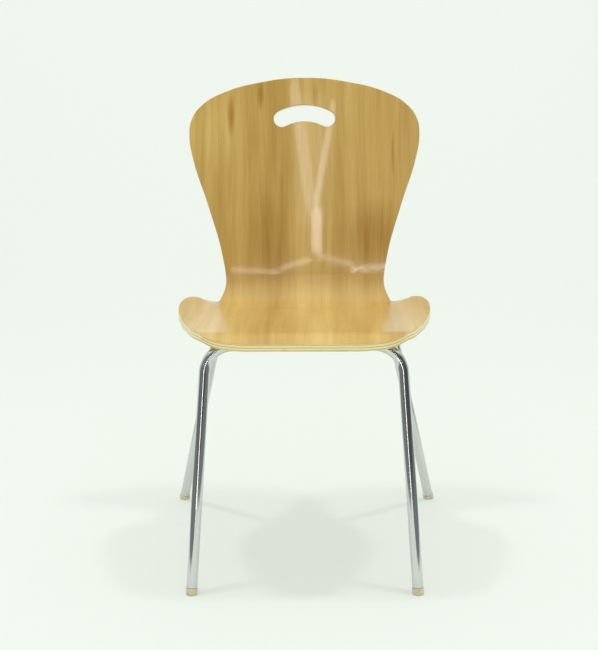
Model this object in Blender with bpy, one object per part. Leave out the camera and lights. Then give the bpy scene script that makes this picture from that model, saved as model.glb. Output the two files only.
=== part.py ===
"""Stacking chair: a pressed plywood shell on a chromed tube frame.

Metres, +Z up. The sitter faces -Y, the chair is symmetrical about X = 0 and it
stands on Z = 0 with the middle of its footprint at the origin.

The shell is drawn as the flat blank that is cut from the ply sheet: x runs
across it, the station s runs from the front edge of the seat to the top of the
back, and t runs through its thickness. The press then bends the blank along the
side profile and dishes it across.
"""

import math

import bmesh
import bpy
from mathutils import Matrix, Vector

# --- clearances -------------------------------------------------------------
TOUCH_GAP = 0.0003          # between faces that touch
BORE_CLEARANCE = 0.0003     # on the radius, between a pin and its bore

# --- pressed shell: side profile ---------------------------------------------
PLY_THICKNESS = 0.015
FRONT_EDGE_Y = 0.0065       # middle of the front edge, measured from the front feet
FRONT_EDGE_Z = 0.4378
LIP_SLOPE = math.radians(14.0)
LIP_LENGTH = 0.028
LIP_TURN = math.radians(-18.7)
LIP_TURN_LENGTH = 0.022
SEAT_LENGTH = 0.270
BEND_TURN = math.radians(84.7)
BEND_LENGTH = 0.1035
BACK_LENGTH = 0.376
BACK_TURN = math.radians(-3.0)

# --- pressed shell: dish across ------------------------------------------------
SEAT_FLAT_HALF = 0.100      # the seat is flat across this far from its middle
WING_CURVATURE = 5.3        # 1/m, of the seat's sides where they rise most
WING_AHEAD = 0.030          # they rise most this far ahead of the bend
BACK_CURVATURE = 1.82       # 1/m, of the back
DISH_CHANGE_AHEAD = 0.020   # the seat's dish starts to turn into the back's ahead of the bend
DISH_CHANGE_RUN = 0.120

# --- pressed shell: outline of the blank -----------------------------------------
SEAT_HALF_WIDTH = 0.226
WAIST_HALF_WIDTH = 0.1505
BACK_HALF_WIDTH = 0.2167
EDGE_EASE = 0.0015          # rounding of the blank's edges
OUTLINE_STEPS = 5           # segments between two outline points

# --- hand-hold: a slot along an arc near the top -----------------------------------
HOLD_WIDTH = 0.031
HOLD_TOP_MARGIN = 0.0675    # from the top of the blank to the slot's middle line
HOLD_ARC_RADIUS = 0.092
HOLD_HALF_ANGLE = math.radians(28.0)

# --- cells that the blank is divided into before it is pressed ----------------------
CELL_ACROSS = 0.025
CELL_LIP = 0.010
CELL_SEAT = 0.030
CELL_BEND = 0.0087
CELL_BACK = 0.030

# --- tube frame -----------------------------------------------------------------
TUBE_RADIUS = 0.0095
TUBE_WALL = 0.0015
TUBE_SIDES_STEP = 8         # 4 + 2 * step sides
KNEE_RADIUS = 0.050
KNEE_STEPS = 9
SHELL_TO_TUBE = 0.003
FRONT_FOOT_X = 0.196
FRONT_FOOT_Y = 0.0
FRONT_KNEE_X = 0.1674
FRONT_RUN_BEHIND = 0.018    # from the end of the lip's turn to the front tube
REAR_FOOT_X = 0.251
REAR_FOOT_Y = 0.460
REAR_KNEE_X = 0.1614
REAR_RUN_AHEAD = 0.004      # from the rear tube to the start of the bend

# --- seat rails, rectangular tube from the front run to the rear run ------------------
RAIL_X = 0.072
RAIL_WIDTH = 0.025
RAIL_HEIGHT = 0.012
RAIL_WALL = 0.0015

# --- shell fixings ---------------------------------------------------------------
FIXING_FROM_TUBE = 0.044    # from each cross tube to the screws next to it
SCREW_RADIUS = 0.003
SCREW_HEAD_RADIUS = 2.0 * SCREW_RADIUS
SCREW_HEAD_HEIGHT = 0.0036
SOCKET_RADIUS = 0.0023
SOCKET_DEPTH = 0.0022
WASHER_RADIUS = SCREW_HEAD_RADIUS + 0.0015
WASHER_THICKNESS = 0.0012
SPACER_RADIUS = 0.011
NUT_BARREL_RADIUS = SCREW_RADIUS + BORE_CLEARANCE + 0.0011
NUT_FLANGE_RADIUS = NUT_BARREL_RADIUS + 0.0046
NUT_FLANGE_THICKNESS = 0.0014
NUT_COVER = 0.0025          # ply left above the nut's flange
ROUND_SIDES = 16
GLIDE_SIDES = 24

# --- glides ------------------------------------------------------------------------
GLIDE_RADIUS = TUBE_RADIUS + 0.0009
GLIDE_HEIGHT = 0.012        # along the leg, from the floor to the tube's end
GLIDE_ROUNDING = 0.0050
GLIDE_BELOW = 0.0022        # moulded below the floor plane, worn flat to it
GLIDE_STEM = 0.022

# --- stacking buffers -----------------------------------------------------------------
BUFFER_RADIUS = 0.010
BUFFER_TIP_RADIUS = 0.008
BUFFER_HEIGHT = 0.007
BUFFER_STEM_RADIUS = 0.003
BUFFER_STEM = 0.007

SIDES = (("left", -1), ("right", 1))

# colour (linear), roughness, metallic
FINISHES = {
    "lacquered_ply": ((0.58, 0.33, 0.11, 1.0), 0.22, 0.0),
    "chrome": ((0.62, 0.63, 0.64, 1.0), 0.10, 1.0),
    "zinc_steel": ((0.48, 0.48, 0.49, 1.0), 0.35, 1.0),
    "amber_plastic": ((0.55, 0.47, 0.28, 1.0), 0.40, 0.0),
    "black_plastic": ((0.03, 0.03, 0.03, 1.0), 0.50, 0.0),
    "black_rubber": ((0.02, 0.02, 0.02, 1.0), 0.80, 0.0),
}


# --- scene helpers -----------------------------------------------------------------

def clear_scene():
    """Remove every object of the file that this script is run in."""
    for obj in list(bpy.data.objects):
        bpy.data.objects.remove(obj, do_unlink=True)


def material(name):
    """Return the named finish as a Principled material, made once."""
    mat = bpy.data.materials.get(name)
    if mat:
        return mat
    colour, roughness, metallic = FINISHES[name]
    mat = bpy.data.materials.new(name)
    mat.use_nodes = True
    shader = mat.node_tree.nodes["Principled BSDF"]
    shader.inputs["Base Color"].default_value = colour
    shader.inputs["Roughness"].default_value = roughness
    shader.inputs["Metallic"].default_value = metallic
    return mat


def add_object(name, data, finish, root, matrix=None):
    """Link an object with its finish, smooth shading and place under the root."""
    obj = bpy.data.objects.new(name, data)
    bpy.context.scene.collection.objects.link(obj)
    obj.data.materials.clear()
    obj.data.materials.append(material(finish))
    obj.data.shade_smooth()
    obj.data.set_sharp_from_angle(angle=math.radians(35.0))
    obj.parent = root
    if matrix is not None:
        obj.matrix_local = matrix
    return obj


def mesh_from(bm, name):
    """Turn a bmesh into a mesh with its faces pointing out."""
    bmesh.ops.remove_doubles(bm, verts=bm.verts[:], dist=1e-6)
    bmesh.ops.recalc_face_normals(bm, faces=bm.faces[:])
    mesh = bpy.data.meshes.new(name)
    bm.to_mesh(mesh)
    bm.free()
    return mesh


def evaluated_mesh(obj):
    """Return a copy of what the object's curve or modifiers make."""
    graph = bpy.context.evaluated_depsgraph_get()
    return bpy.data.meshes.new_from_object(obj.evaluated_get(graph))


def discard(*objects):
    """Remove helper objects that have done their work."""
    for obj in objects:
        bpy.data.objects.remove(obj, do_unlink=True)


def subtract(mesh, cutters):
    """Return the mesh with each cutter mesh taken out of it."""
    body = bpy.data.objects.new("body", mesh)
    bpy.context.scene.collection.objects.link(body)
    helpers = []
    for cutter in cutters:
        tool = bpy.data.objects.new("cutter", cutter)
        bpy.context.scene.collection.objects.link(tool)
        tool.hide_render = True
        tool.display_type = 'WIRE'
        cut = body.modifiers.new("cut", 'BOOLEAN')
        cut.operation = 'DIFFERENCE'
        cut.solver = 'EXACT'
        cut.object = tool
        helpers.append(tool)
    result = evaluated_mesh(body)
    discard(body, *helpers)
    return result


def turned(profile, name, sides=ROUND_SIDES):
    """Spin a closed (radius, height) profile about Z into a solid mesh."""
    bm = bmesh.new()
    points = [bm.verts.new((radius, 0.0, height)) for radius, height in profile]
    ring = points + points[:1] if profile[0][0] > 0.0 else points
    edges = [bm.edges.new(pair) for pair in zip(ring, ring[1:])]
    bmesh.ops.spin(bm, geom=points + edges, axis=(0, 0, 1), cent=(0, 0, 0),
                   angle=math.tau, steps=sides, use_merge=True)
    return mesh_from(bm, name)


# --- the pressed shape --------------------------------------------------------------

PROFILE = (
    (LIP_LENGTH, 0.0),
    (LIP_TURN_LENGTH, LIP_TURN),
    (SEAT_LENGTH, 0.0),
    (BEND_LENGTH, BEND_TURN),
    (BACK_LENGTH, BACK_TURN),
)
LIP_END = LIP_LENGTH + LIP_TURN_LENGTH
BEND_START = LIP_END + SEAT_LENGTH
BACK_START = BEND_START + BEND_LENGTH
BLANK_LENGTH = BACK_START + BACK_LENGTH
WING_STATION = BEND_START - WING_AHEAD
DISH_CHANGE_START = BEND_START - DISH_CHANGE_AHEAD

FRONT_RUN_STATION = LIP_END + FRONT_RUN_BEHIND
REAR_RUN_STATION = BEND_START - REAR_RUN_AHEAD
FIXING_STATIONS = (
    ("front", FRONT_RUN_STATION + FIXING_FROM_TUBE),
    ("rear", REAR_RUN_STATION - FIXING_FROM_TUBE),
)
BUFFER_STATION = (FRONT_RUN_STATION + REAR_RUN_STATION) / 2.0


def smooth(u):
    """Ease from 0 to 1 as u goes from 0 to 1."""
    u = min(max(u, 0.0), 1.0)
    return u * u * (3.0 - 2.0 * u)


def profile_at(station):
    """Return (y, z, slope) of the middle of the ply at a station."""
    y, z, slope = FRONT_EDGE_Y, FRONT_EDGE_Z, LIP_SLOPE
    left = station
    for index, (length, turn) in enumerate(PROFILE):
        last = index == len(PROFILE) - 1
        run = left if last else min(left, length)
        end = slope + turn * run / length
        if abs(turn) < 1e-9:
            y += run * math.cos(slope)
            z += run * math.sin(slope)
        else:
            bend = length / turn
            y += bend * (math.sin(end) - math.sin(slope))
            z += bend * (math.cos(slope) - math.cos(end))
        slope = end
        left -= run
        if left <= 0.0:
            break
    return y, z, slope


def dish_at(x, station):
    """Return how far the shell rises off its profile at x."""
    rise = min(station / WING_STATION, 1.0) ** 2
    wing = max(abs(x) - SEAT_FLAT_HALF, 0.0)
    seat = WING_CURVATURE * rise * wing * wing / 2.0
    back = BACK_CURVATURE * x * x / 2.0
    share = smooth((station - DISH_CHANGE_START) / DISH_CHANGE_RUN)
    return (1.0 - share) * seat + share * back


def press_point(x, station, t):
    """Return where the press puts the blank's point (x, station, t)."""
    y, z, slope = profile_at(station)
    lift = dish_at(x, station) + t
    return Vector((x, y - math.sin(slope) * lift, z + math.cos(slope) * lift))


def fixing_matrix(x, station, t):
    """Return a frame at a point of the seat, its Z square to the seat."""
    slope = profile_at(station)[2]
    return Matrix.Translation(press_point(x, station, t)) @ Matrix.Rotation(slope, 4, 'X')


# --- shell ------------------------------------------------------------------------

def half_outline():
    """Return the blank's right-hand outline from front middle to top middle."""
    seat = (
        (0.300, 0.000), (0.480, 0.004), (0.665, 0.044), (0.800, 0.150), (0.885, 0.300),
        (0.962, 0.470), (1.000, 0.640), (0.978, 0.775), (0.905, 0.893),
        (0.785, 0.974),
    )
    bend = ((1.095, 0.060), (1.060, 0.270), (1.000, 0.780))
    flare = ((0.104, 0.102), (0.480, 0.343), (0.905, 0.582), (1.000, 0.690), (0.935, 0.778))
    crown = ((0.888, 0.8535), (0.709, 0.918), (0.427, 0.970))
    spread = BACK_HALF_WIDTH - WAIST_HALF_WIDTH
    points = [(0.0, 0.0)]
    points += [(SEAT_HALF_WIDTH * w, BEND_START * f) for w, f in seat]
    points += [(WAIST_HALF_WIDTH * w, BEND_START + BEND_LENGTH * f) for w, f in bend]
    points += [(WAIST_HALF_WIDTH + spread * w, BACK_START + BACK_LENGTH * f) for w, f in flare]
    points += [(BACK_HALF_WIDTH * w, BACK_START + BACK_LENGTH * f) for w, f in crown]
    points.append((0.0, BLANK_LENGTH))
    return points


def hold_outline():
    """Return the hand-hold's outline: two arcs and two round ends."""
    half = HOLD_WIDTH / 2.0
    centre = BLANK_LENGTH - HOLD_TOP_MARGIN - HOLD_ARC_RADIUS
    points = []
    arc_steps, end_steps = 10, 6
    for step in range(arc_steps + 1):
        angle = HOLD_HALF_ANGLE * (2.0 * step / arc_steps - 1.0)
        radius = HOLD_ARC_RADIUS + half
        points.append((radius * math.sin(angle), centre + radius * math.cos(angle)))
    for side, order in ((1, 1), (-1, -1)):
        hub = (side * HOLD_ARC_RADIUS * math.sin(HOLD_HALF_ANGLE),
               centre + HOLD_ARC_RADIUS * math.cos(HOLD_HALF_ANGLE))
        start = math.pi / 2.0 - HOLD_HALF_ANGLE if side > 0 else 1.5 * math.pi + HOLD_HALF_ANGLE
        for step in range(1, end_steps):
            angle = start - math.pi * step / end_steps
            points.append((hub[0] + half * math.cos(angle), hub[1] + half * math.sin(angle)))
        if side > 0:
            for step in range(arc_steps + 1):
                angle = HOLD_HALF_ANGLE * (1.0 - 2.0 * step / arc_steps)
                radius = HOLD_ARC_RADIUS - half
                points.append((radius * math.sin(angle), centre + radius * math.cos(angle)))
    return points


def blank_mesh():
    """Return the flat blank: x across, y the station, z through the ply."""
    curve = bpy.data.curves.new("blank", 'CURVE')
    curve.dimensions = '2D'
    curve.fill_mode = 'BOTH'
    curve.extrude = PLY_THICKNESS / 2.0 - EDGE_EASE
    curve.bevel_depth = EDGE_EASE
    curve.bevel_resolution = 0
    curve.offset = -EDGE_EASE
    curve.resolution_u = OUTLINE_STEPS
    curve.render_resolution_u = 0
    right = half_outline()
    left = [(-x, s) for x, s in reversed(right[1:-1])]
    rim = curve.splines.new('BEZIER')
    rim.bezier_points.add(len(right) + len(left) - 1)
    rim.use_cyclic_u = True
    for knot, (x, s) in zip(rim.bezier_points, right + left):
        knot.co = (x, s, 0.0)
    for knot in rim.bezier_points:
        knot.handle_left_type = 'AUTO'
        knot.handle_right_type = 'AUTO'
    hold = hold_outline()
    slot = curve.splines.new('POLY')
    slot.points.add(len(hold) - 1)
    slot.use_cyclic_u = True
    for knot, (x, s) in zip(slot.points, hold):
        knot.co = (x, s, 0.0, 1.0)
    helper = bpy.data.objects.new("blank", curve)
    bpy.context.scene.collection.objects.link(helper)
    mesh = evaluated_mesh(helper)
    discard(helper)
    bm = bmesh.new()
    bm.from_mesh(mesh)
    bmesh.ops.remove_doubles(bm, verts=bm.verts[:], dist=1e-6)
    bmesh.ops.dissolve_limit(bm, angle_limit=math.radians(0.5), verts=bm.verts[:],
                             edges=bm.edges[:], use_dissolve_boundaries=False)
    return mesh_from(bm, "blank")


def nut_pocket():
    """Return the pocket of a T-nut, open at the underside, in the nut's frame."""
    bore = NUT_BARREL_RADIUS + BORE_CLEARANCE
    flange = NUT_FLANGE_RADIUS + BORE_CLEARANCE
    roof = PLY_THICKNESS / 2.0 - NUT_COVER + TOUCH_GAP
    seat = roof - NUT_FLANGE_THICKNESS - 2.0 * TOUCH_GAP
    below = -PLY_THICKNESS
    profile = ((0.0, below), (bore, below), (bore, seat), (flange, seat), (flange, roof), (0.0, roof))
    return turned(profile, "pocket")


def cut_lines(start, length, cell):
    """Return evenly spaced stations over a stretch, without its start."""
    count = max(1, round(length / cell))
    return [start + length * (step + 1) / count for step in range(count)]


def pressed_shell(root):
    """Make the shell: cut the blank, divide it into cells and press it."""
    pockets = []
    for _, side in SIDES:
        for _, station in FIXING_STATIONS:
            pocket = nut_pocket()
            pocket.transform(Matrix.Translation((side * RAIL_X, station, 0.0)))
            pockets.append(pocket)
    bm = bmesh.new()
    bm.from_mesh(subtract(blank_mesh(), pockets))
    stations = cut_lines(0.0, LIP_END, CELL_LIP)
    stations += cut_lines(LIP_END, SEAT_LENGTH, CELL_SEAT)
    stations += cut_lines(BEND_START, BEND_LENGTH, CELL_BEND)
    stations += cut_lines(BACK_START, BACK_LENGTH, CELL_BACK)
    across = cut_lines(0.0, max(SEAT_HALF_WIDTH, BACK_HALF_WIDTH), CELL_ACROSS)
    lines = [((0.0, s, 0.0), (0, 1, 0)) for s in stations]
    lines += [((side * x, 0.0, 0.0), (1, 0, 0)) for x in across for side in (1, -1)]
    lines.append(((0.0, 0.0, 0.0), (1, 0, 0)))
    for point, normal in lines:
        bmesh.ops.bisect_plane(bm, geom=bm.verts[:] + bm.edges[:] + bm.faces[:],
                               plane_co=point, plane_no=normal, dist=1e-5)
    for vert in bm.verts:
        vert.co = press_point(*vert.co)
    return add_object("seat_shell", mesh_from(bm, "seat_shell"), "lacquered_ply", root)


# --- tube frame ------------------------------------------------------------------------

def run_centre(station):
    """Return the centre of a tube that runs across under the seat."""
    return press_point(0.0, station, -(PLY_THICKNESS / 2.0 + SHELL_TO_TUBE + TUBE_RADIUS))


def leg_points(foot_x, foot_y, knee_x, station):
    """Return (floor point, knee point) of the right-hand leg."""
    run = run_centre(station)
    return Vector((foot_x, foot_y, 0.0)), Vector((knee_x, run.y, run.z))


def knee_arc(before, corner, after):
    """Return the points of the round bend at a corner of the tube's route."""
    arm_in = (before - corner).normalized()
    arm_out = (after - corner).normalized()
    half = arm_in.angle(arm_out) / 2.0
    centre = corner + (arm_in + arm_out).normalized() * (KNEE_RADIUS / math.sin(half))
    start = corner + arm_in * (KNEE_RADIUS / math.tan(half)) - centre
    end = corner + arm_out * (KNEE_RADIUS / math.tan(half)) - centre
    axis = start.cross(end)
    sweep = start.angle(end)
    return [centre + Matrix.Rotation(sweep * step / KNEE_STEPS, 3, axis) @ start
            for step in range(KNEE_STEPS + 1)]


def leg_route(foot_x, foot_y, knee_x, station):
    """Return the route of a leg frame, from its left tube end to its right one."""
    foot, knee = leg_points(foot_x, foot_y, knee_x, station)
    end = foot + (knee - foot).normalized() * GLIDE_HEIGHT
    other = Vector((-knee.x, knee.y, knee.z))
    right = [end] + knee_arc(end, knee, other)
    left = [Vector((-p.x, p.y, p.z)) for p in right]
    return left + right[::-1]


def leg_frame(name, route, root):
    """Make an upside-down U of tube, open at both feet."""
    curve = bpy.data.curves.new(name, 'CURVE')
    curve.dimensions = '3D'
    curve.bevel_depth = TUBE_RADIUS
    curve.bevel_resolution = TUBE_SIDES_STEP
    curve.render_resolution_u = 0
    spline = curve.splines.new('POLY')
    spline.points.add(len(route) - 1)
    for knot, point in zip(spline.points, route):
        knot.co = (*point, 1.0)
    helper = bpy.data.objects.new("route", curve)
    bpy.context.scene.collection.objects.link(helper)
    mesh = evaluated_mesh(helper)
    discard(helper)
    bm = bmesh.new()
    bm.from_mesh(mesh)
    obj = add_object(name, mesh_from(bm, name), "chrome", root)
    wall = obj.modifiers.new("wall", 'SOLIDIFY')
    wall.thickness = TUBE_WALL
    wall.offset = -1.0
    wall.use_rim = True
    return obj


# --- seat rails -----------------------------------------------------------------------

def box_mesh(size, centre):
    """Return a box of the given size about a centre."""
    bm = bmesh.new()
    bmesh.ops.create_cube(bm, size=1.0, matrix=Matrix.Translation(centre) @ Matrix.Diagonal((*size, 1.0)))
    return mesh_from(bm, "box")


def cylinder_mesh(radius, length, matrix):
    """Return a cylinder along the matrix's Z."""
    bm = bmesh.new()
    bmesh.ops.create_cone(bm, cap_ends=True, segments=ROUND_SIDES, radius1=radius, radius2=radius,
                          depth=length, matrix=matrix)
    return mesh_from(bm, "cylinder")


def seat_rail(name, side, root):
    """Make a rail, coped to both tubes, drilled for its screws and its buffer."""
    front, rear = run_centre(FRONT_RUN_STATION), run_centre(REAR_RUN_STATION)
    length = (rear - front).length
    frame = Matrix.Translation(front + Vector((side * RAIL_X, 0.0, 0.0)))
    frame = frame @ Matrix.Rotation(math.atan2(rear.z - front.z, rear.y - front.y), 4, 'X')
    middle = (0.0, length / 2.0, 0.0)
    body = box_mesh((RAIL_WIDTH, length, RAIL_HEIGHT), middle)
    hollow = (RAIL_WIDTH - 2.0 * RAIL_WALL, length * 2.0, RAIL_HEIGHT - 2.0 * RAIL_WALL)
    crosswise = Matrix.Rotation(math.pi / 2.0, 4, 'Y')
    cope = TUBE_RADIUS + TOUCH_GAP
    cutters = [box_mesh(hollow, middle)]
    for y in (0.0, length):
        cutters.append(cylinder_mesh(cope, RAIL_WIDTH * 2.0, Matrix.Translation((0.0, y, 0.0)) @ crosswise))
    for _, station in FIXING_STATIONS:
        place = Matrix.Translation((0.0, station - FRONT_RUN_STATION, 0.0))
        cutters.append(cylinder_mesh(SCREW_RADIUS + BORE_CLEARANCE, RAIL_HEIGHT * 2.0, place))
    place = Matrix.Translation((0.0, BUFFER_STATION - FRONT_RUN_STATION, -RAIL_HEIGHT / 2.0))
    cutters.append(cylinder_mesh(BUFFER_STEM_RADIUS + BORE_CLEARANCE, RAIL_HEIGHT, place))
    return add_object(name, subtract(body, cutters), "zinc_steel", root, frame)


# --- fixings -------------------------------------------------------------------------

RAIL_LEVEL = -(PLY_THICKNESS / 2.0 + SHELL_TO_TUBE + TUBE_RADIUS)
RAIL_TOP = RAIL_LEVEL + RAIL_HEIGHT / 2.0
RAIL_BOTTOM = RAIL_LEVEL - RAIL_HEIGHT / 2.0
NUT_TOP = PLY_THICKNESS / 2.0 - NUT_COVER
SCREW_HEAD_TOP = RAIL_BOTTOM - WASHER_THICKNESS - 2.0 * TOUCH_GAP
SCREW_TIP = NUT_TOP - NUT_FLANGE_THICKNESS


def nut_mesh():
    """T-nut: a threaded barrel with a flange on top, about the screw's axis."""
    bore = SCREW_RADIUS + BORE_CLEARANCE
    foot = -PLY_THICKNESS / 2.0 + TOUCH_GAP
    neck = NUT_TOP - NUT_FLANGE_THICKNESS
    profile = ((bore, foot), (NUT_BARREL_RADIUS, foot), (NUT_BARREL_RADIUS, neck),
               (NUT_FLANGE_RADIUS, neck), (NUT_FLANGE_RADIUS, NUT_TOP), (bore, NUT_TOP))
    return turned(profile, "t_nut")


def screw_mesh():
    """Machine screw from below: socket in a domed head, shank up into the nut."""
    top = SCREW_HEAD_TOP
    base = top - SCREW_HEAD_HEIGHT
    crown = SCREW_HEAD_RADIUS * 0.72
    profile = ((0.0, SCREW_TIP), (SCREW_RADIUS, SCREW_TIP), (SCREW_RADIUS, top),
               (SCREW_HEAD_RADIUS, top), (SCREW_HEAD_RADIUS, base + SCREW_HEAD_HEIGHT * 0.45),
               (crown, base), (SOCKET_RADIUS, base), (SOCKET_RADIUS, base + SOCKET_DEPTH),
               (0.0, base + SOCKET_DEPTH))
    return turned(profile, "screw")


def ring_mesh(name, radius, low, high):
    """Flat ring about the screw's axis, from one level to another."""
    bore = SCREW_RADIUS + BORE_CLEARANCE
    profile = ((bore, low), (radius, low), (radius, high), (bore, high))
    return turned(profile, name)


def shell_fixings(root):
    """Make the screw, washer, spacer and T-nut of each of the four fixings."""
    nut, screw = nut_mesh(), screw_mesh()
    washer = ring_mesh("washer", WASHER_RADIUS, RAIL_BOTTOM - TOUCH_GAP - WASHER_THICKNESS,
                       RAIL_BOTTOM - TOUCH_GAP)
    spacer = ring_mesh("spacer", SPACER_RADIUS, RAIL_TOP + TOUCH_GAP, -PLY_THICKNESS / 2.0 - TOUCH_GAP)
    for where, station in FIXING_STATIONS:
        for hand, side in SIDES:
            frame = fixing_matrix(side * RAIL_X, station, 0.0)
            tag = f"{where}_{hand}"
            add_object(f"t_nut_{tag}", nut.copy(), "zinc_steel", root, frame)
            add_object(f"seat_screw_{tag}", screw.copy(), "zinc_steel", root, frame)
            add_object(f"washer_{tag}", washer.copy(), "zinc_steel", root, frame)
            add_object(f"seat_spacer_{tag}", spacer.copy(), "black_plastic", root, frame)


def stacking_buffers(root):
    """Make the rubber buffer that is plugged into each rail from below."""
    top = RAIL_BOTTOM - TOUCH_GAP
    profile = ((0.0, top - BUFFER_HEIGHT), (BUFFER_TIP_RADIUS, top - BUFFER_HEIGHT),
               (BUFFER_RADIUS, top - BUFFER_HEIGHT * 0.65), (BUFFER_RADIUS, top),
               (BUFFER_STEM_RADIUS, top), (BUFFER_STEM_RADIUS, top + BUFFER_STEM), (0.0, top + BUFFER_STEM))
    mesh = turned(profile, "buffer")
    for hand, side in SIDES:
        frame = fixing_matrix(side * RAIL_X, BUFFER_STATION, 0.0)
        add_object(f"stacking_buffer_{hand}", mesh.copy(), "black_rubber", root, frame)


# --- glides ----------------------------------------------------------------------------

def glide_mesh(frame):
    """Glide: a round-bottomed head worn flat on the floor, and a stem in the tube."""
    stem = TUBE_RADIUS - TUBE_WALL - BORE_CLEARANCE
    head_top = GLIDE_HEIGHT - TOUCH_GAP
    profile = [(0.0, -GLIDE_BELOW)]
    steps = 4
    for step in range(steps + 1):
        angle = math.pi / 2.0 * step / steps
        profile.append((GLIDE_RADIUS - GLIDE_ROUNDING * (1.0 - math.sin(angle)),
                        -GLIDE_BELOW + GLIDE_ROUNDING * (1.0 - math.cos(angle))))
    profile += [(GLIDE_RADIUS, head_top), (stem, head_top), (stem, GLIDE_HEIGHT + GLIDE_STEM - 0.0015),
                (stem - 0.0015, GLIDE_HEIGHT + GLIDE_STEM), (0.0, GLIDE_HEIGHT + GLIDE_STEM)]
    bm = bmesh.new()
    bm.from_mesh(turned(profile, "glide", GLIDE_SIDES))
    floor = frame.inverted()
    cut = bmesh.ops.bisect_plane(bm, geom=bm.verts[:] + bm.edges[:] + bm.faces[:], dist=1e-6,
                                 plane_co=floor @ Vector((0.0, 0.0, 0.0)),
                                 plane_no=floor.to_3x3() @ Vector((0.0, 0.0, -1.0)), clear_outer=True)
    rim = [item for item in cut["geom_cut"] if isinstance(item, bmesh.types.BMEdge)]
    bmesh.ops.edgeloop_fill(bm, edges=rim)
    return mesh_from(bm, "glide")


def glides(name, foot, knee, root):
    """Make the left and right glides of one leg frame."""
    for hand, side in SIDES:
        mirror = Vector((side, 1.0, 1.0))
        axis = (knee - foot) * mirror
        frame = Matrix.Translation(foot * mirror) @ axis.to_track_quat('Z', 'Y').to_matrix().to_4x4()
        add_object(f"{name}_glide_{hand}", glide_mesh(frame), "amber_plastic", root, frame)


# --- assembly --------------------------------------------------------------------------

def centre_footprint(root):
    """Move the root so that the middle of the chair's box is over the origin."""
    bpy.context.view_layer.update()
    graph = bpy.context.evaluated_depsgraph_get()
    depths = []
    for obj in root.children:
        shown = obj.evaluated_get(graph)
        depths += [(obj.matrix_world @ vert.co).y for vert in shown.data.vertices]
    root.location.y = -(min(depths) + max(depths)) / 2.0
    bpy.context.view_layer.update()


def main():
    """Build the chair."""
    clear_scene()
    root = bpy.data.objects.new("chair", None)
    bpy.context.scene.collection.objects.link(root)
    pressed_shell(root)
    front = (FRONT_FOOT_X, FRONT_FOOT_Y, FRONT_KNEE_X, FRONT_RUN_STATION)
    rear = (REAR_FOOT_X, REAR_FOOT_Y, REAR_KNEE_X, REAR_RUN_STATION)
    leg_frame("front_leg_frame", leg_route(*front), root)
    leg_frame("rear_leg_frame", leg_route(*rear), root)
    for hand, side in SIDES:
        seat_rail(f"seat_rail_{hand}", side, root)
    shell_fixings(root)
    stacking_buffers(root)
    glides("front", *leg_points(*front), root)
    glides("rear", *leg_points(*rear), root)
    centre_footprint(root)


main()
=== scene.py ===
"""Stacking chair: the finished surface of a pressed plywood chair on a chromed tube frame.

Metres, +Z up. The sitter faces -Y and the chair stands on Z = 0. Every size below is
the chair's own, in a design frame whose Y starts at the front feet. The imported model
has its middle over the origin instead, so each piece is moved back by one shared amount.
"""

import logging
import math
from dataclasses import dataclass, field, replace
from enum import Enum
from typing import Callable, Iterable, Sequence

import bmesh
import bpy
from mathutils import Matrix, Vector


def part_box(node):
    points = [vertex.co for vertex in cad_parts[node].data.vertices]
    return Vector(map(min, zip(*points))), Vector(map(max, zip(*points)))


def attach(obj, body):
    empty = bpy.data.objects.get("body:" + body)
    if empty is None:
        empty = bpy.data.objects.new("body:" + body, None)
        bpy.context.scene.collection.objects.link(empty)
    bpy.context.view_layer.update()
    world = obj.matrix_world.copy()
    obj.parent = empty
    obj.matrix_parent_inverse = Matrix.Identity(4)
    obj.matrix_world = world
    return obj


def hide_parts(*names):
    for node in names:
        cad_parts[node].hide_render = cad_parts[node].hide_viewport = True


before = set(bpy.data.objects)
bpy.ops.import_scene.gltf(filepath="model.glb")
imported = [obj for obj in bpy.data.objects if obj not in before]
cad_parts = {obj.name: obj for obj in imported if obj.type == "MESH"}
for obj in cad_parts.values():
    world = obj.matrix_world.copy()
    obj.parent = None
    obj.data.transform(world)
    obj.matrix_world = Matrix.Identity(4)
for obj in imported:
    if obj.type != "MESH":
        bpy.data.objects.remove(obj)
LOG = logging.getLogger("stacking_chair")
Colour = tuple[float, float, float]

TOUCH = 0.0003                  # gap between faces that touch
FRONT_FOOT = (0.196, 0.0)       # x and y of the right-hand foot, from the front feet
REAR_FOOT = (0.251, 0.460)
FRONT_KNEE_X = 0.1674
REAR_KNEE_X = 0.1614
FRONT_RUN_BEHIND = 0.018        # from the end of the lip's turn to the front tube
REAR_RUN_AHEAD = 0.004          # from the rear tube to the start of the bend


class Side(Enum):
    """The two hands of the chair, with the sign of X."""

    LEFT = -1
    RIGHT = 1

    @property
    def tag(self) -> str:
        """Return the word that piece names use."""
        return self.name.lower()


class Row(Enum):
    """The two rows of fixings and feet."""

    FRONT = "front"
    REAR = "rear"


class Ply(Enum):
    """The shell's kinds of surface, with their material slots."""

    FACE = 0
    BACK = 1
    EDGE = 2
    SEAT = 3


# --- shared mesh work -------------------------------------------------------------

def mesh_of(bm: bmesh.types.BMesh, name: str, tidy: bool = True) -> bpy.types.Mesh:
    """Turn a bmesh into a smooth-shaded mesh.

    Args:
        bm: The bmesh, which is freed.
        name: The mesh's name.
        tidy: Merge doubles and turn every face outwards first.

    Returns:
        The new mesh.
    """
    if tidy:
        bmesh.ops.remove_doubles(bm, verts=bm.verts[:], dist=1e-6)
        bmesh.ops.recalc_face_normals(bm, faces=bm.faces[:])
    mesh = bpy.data.meshes.new(name)
    bm.to_mesh(mesh)
    bm.free()
    mesh.shade_smooth()
    return mesh


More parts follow.
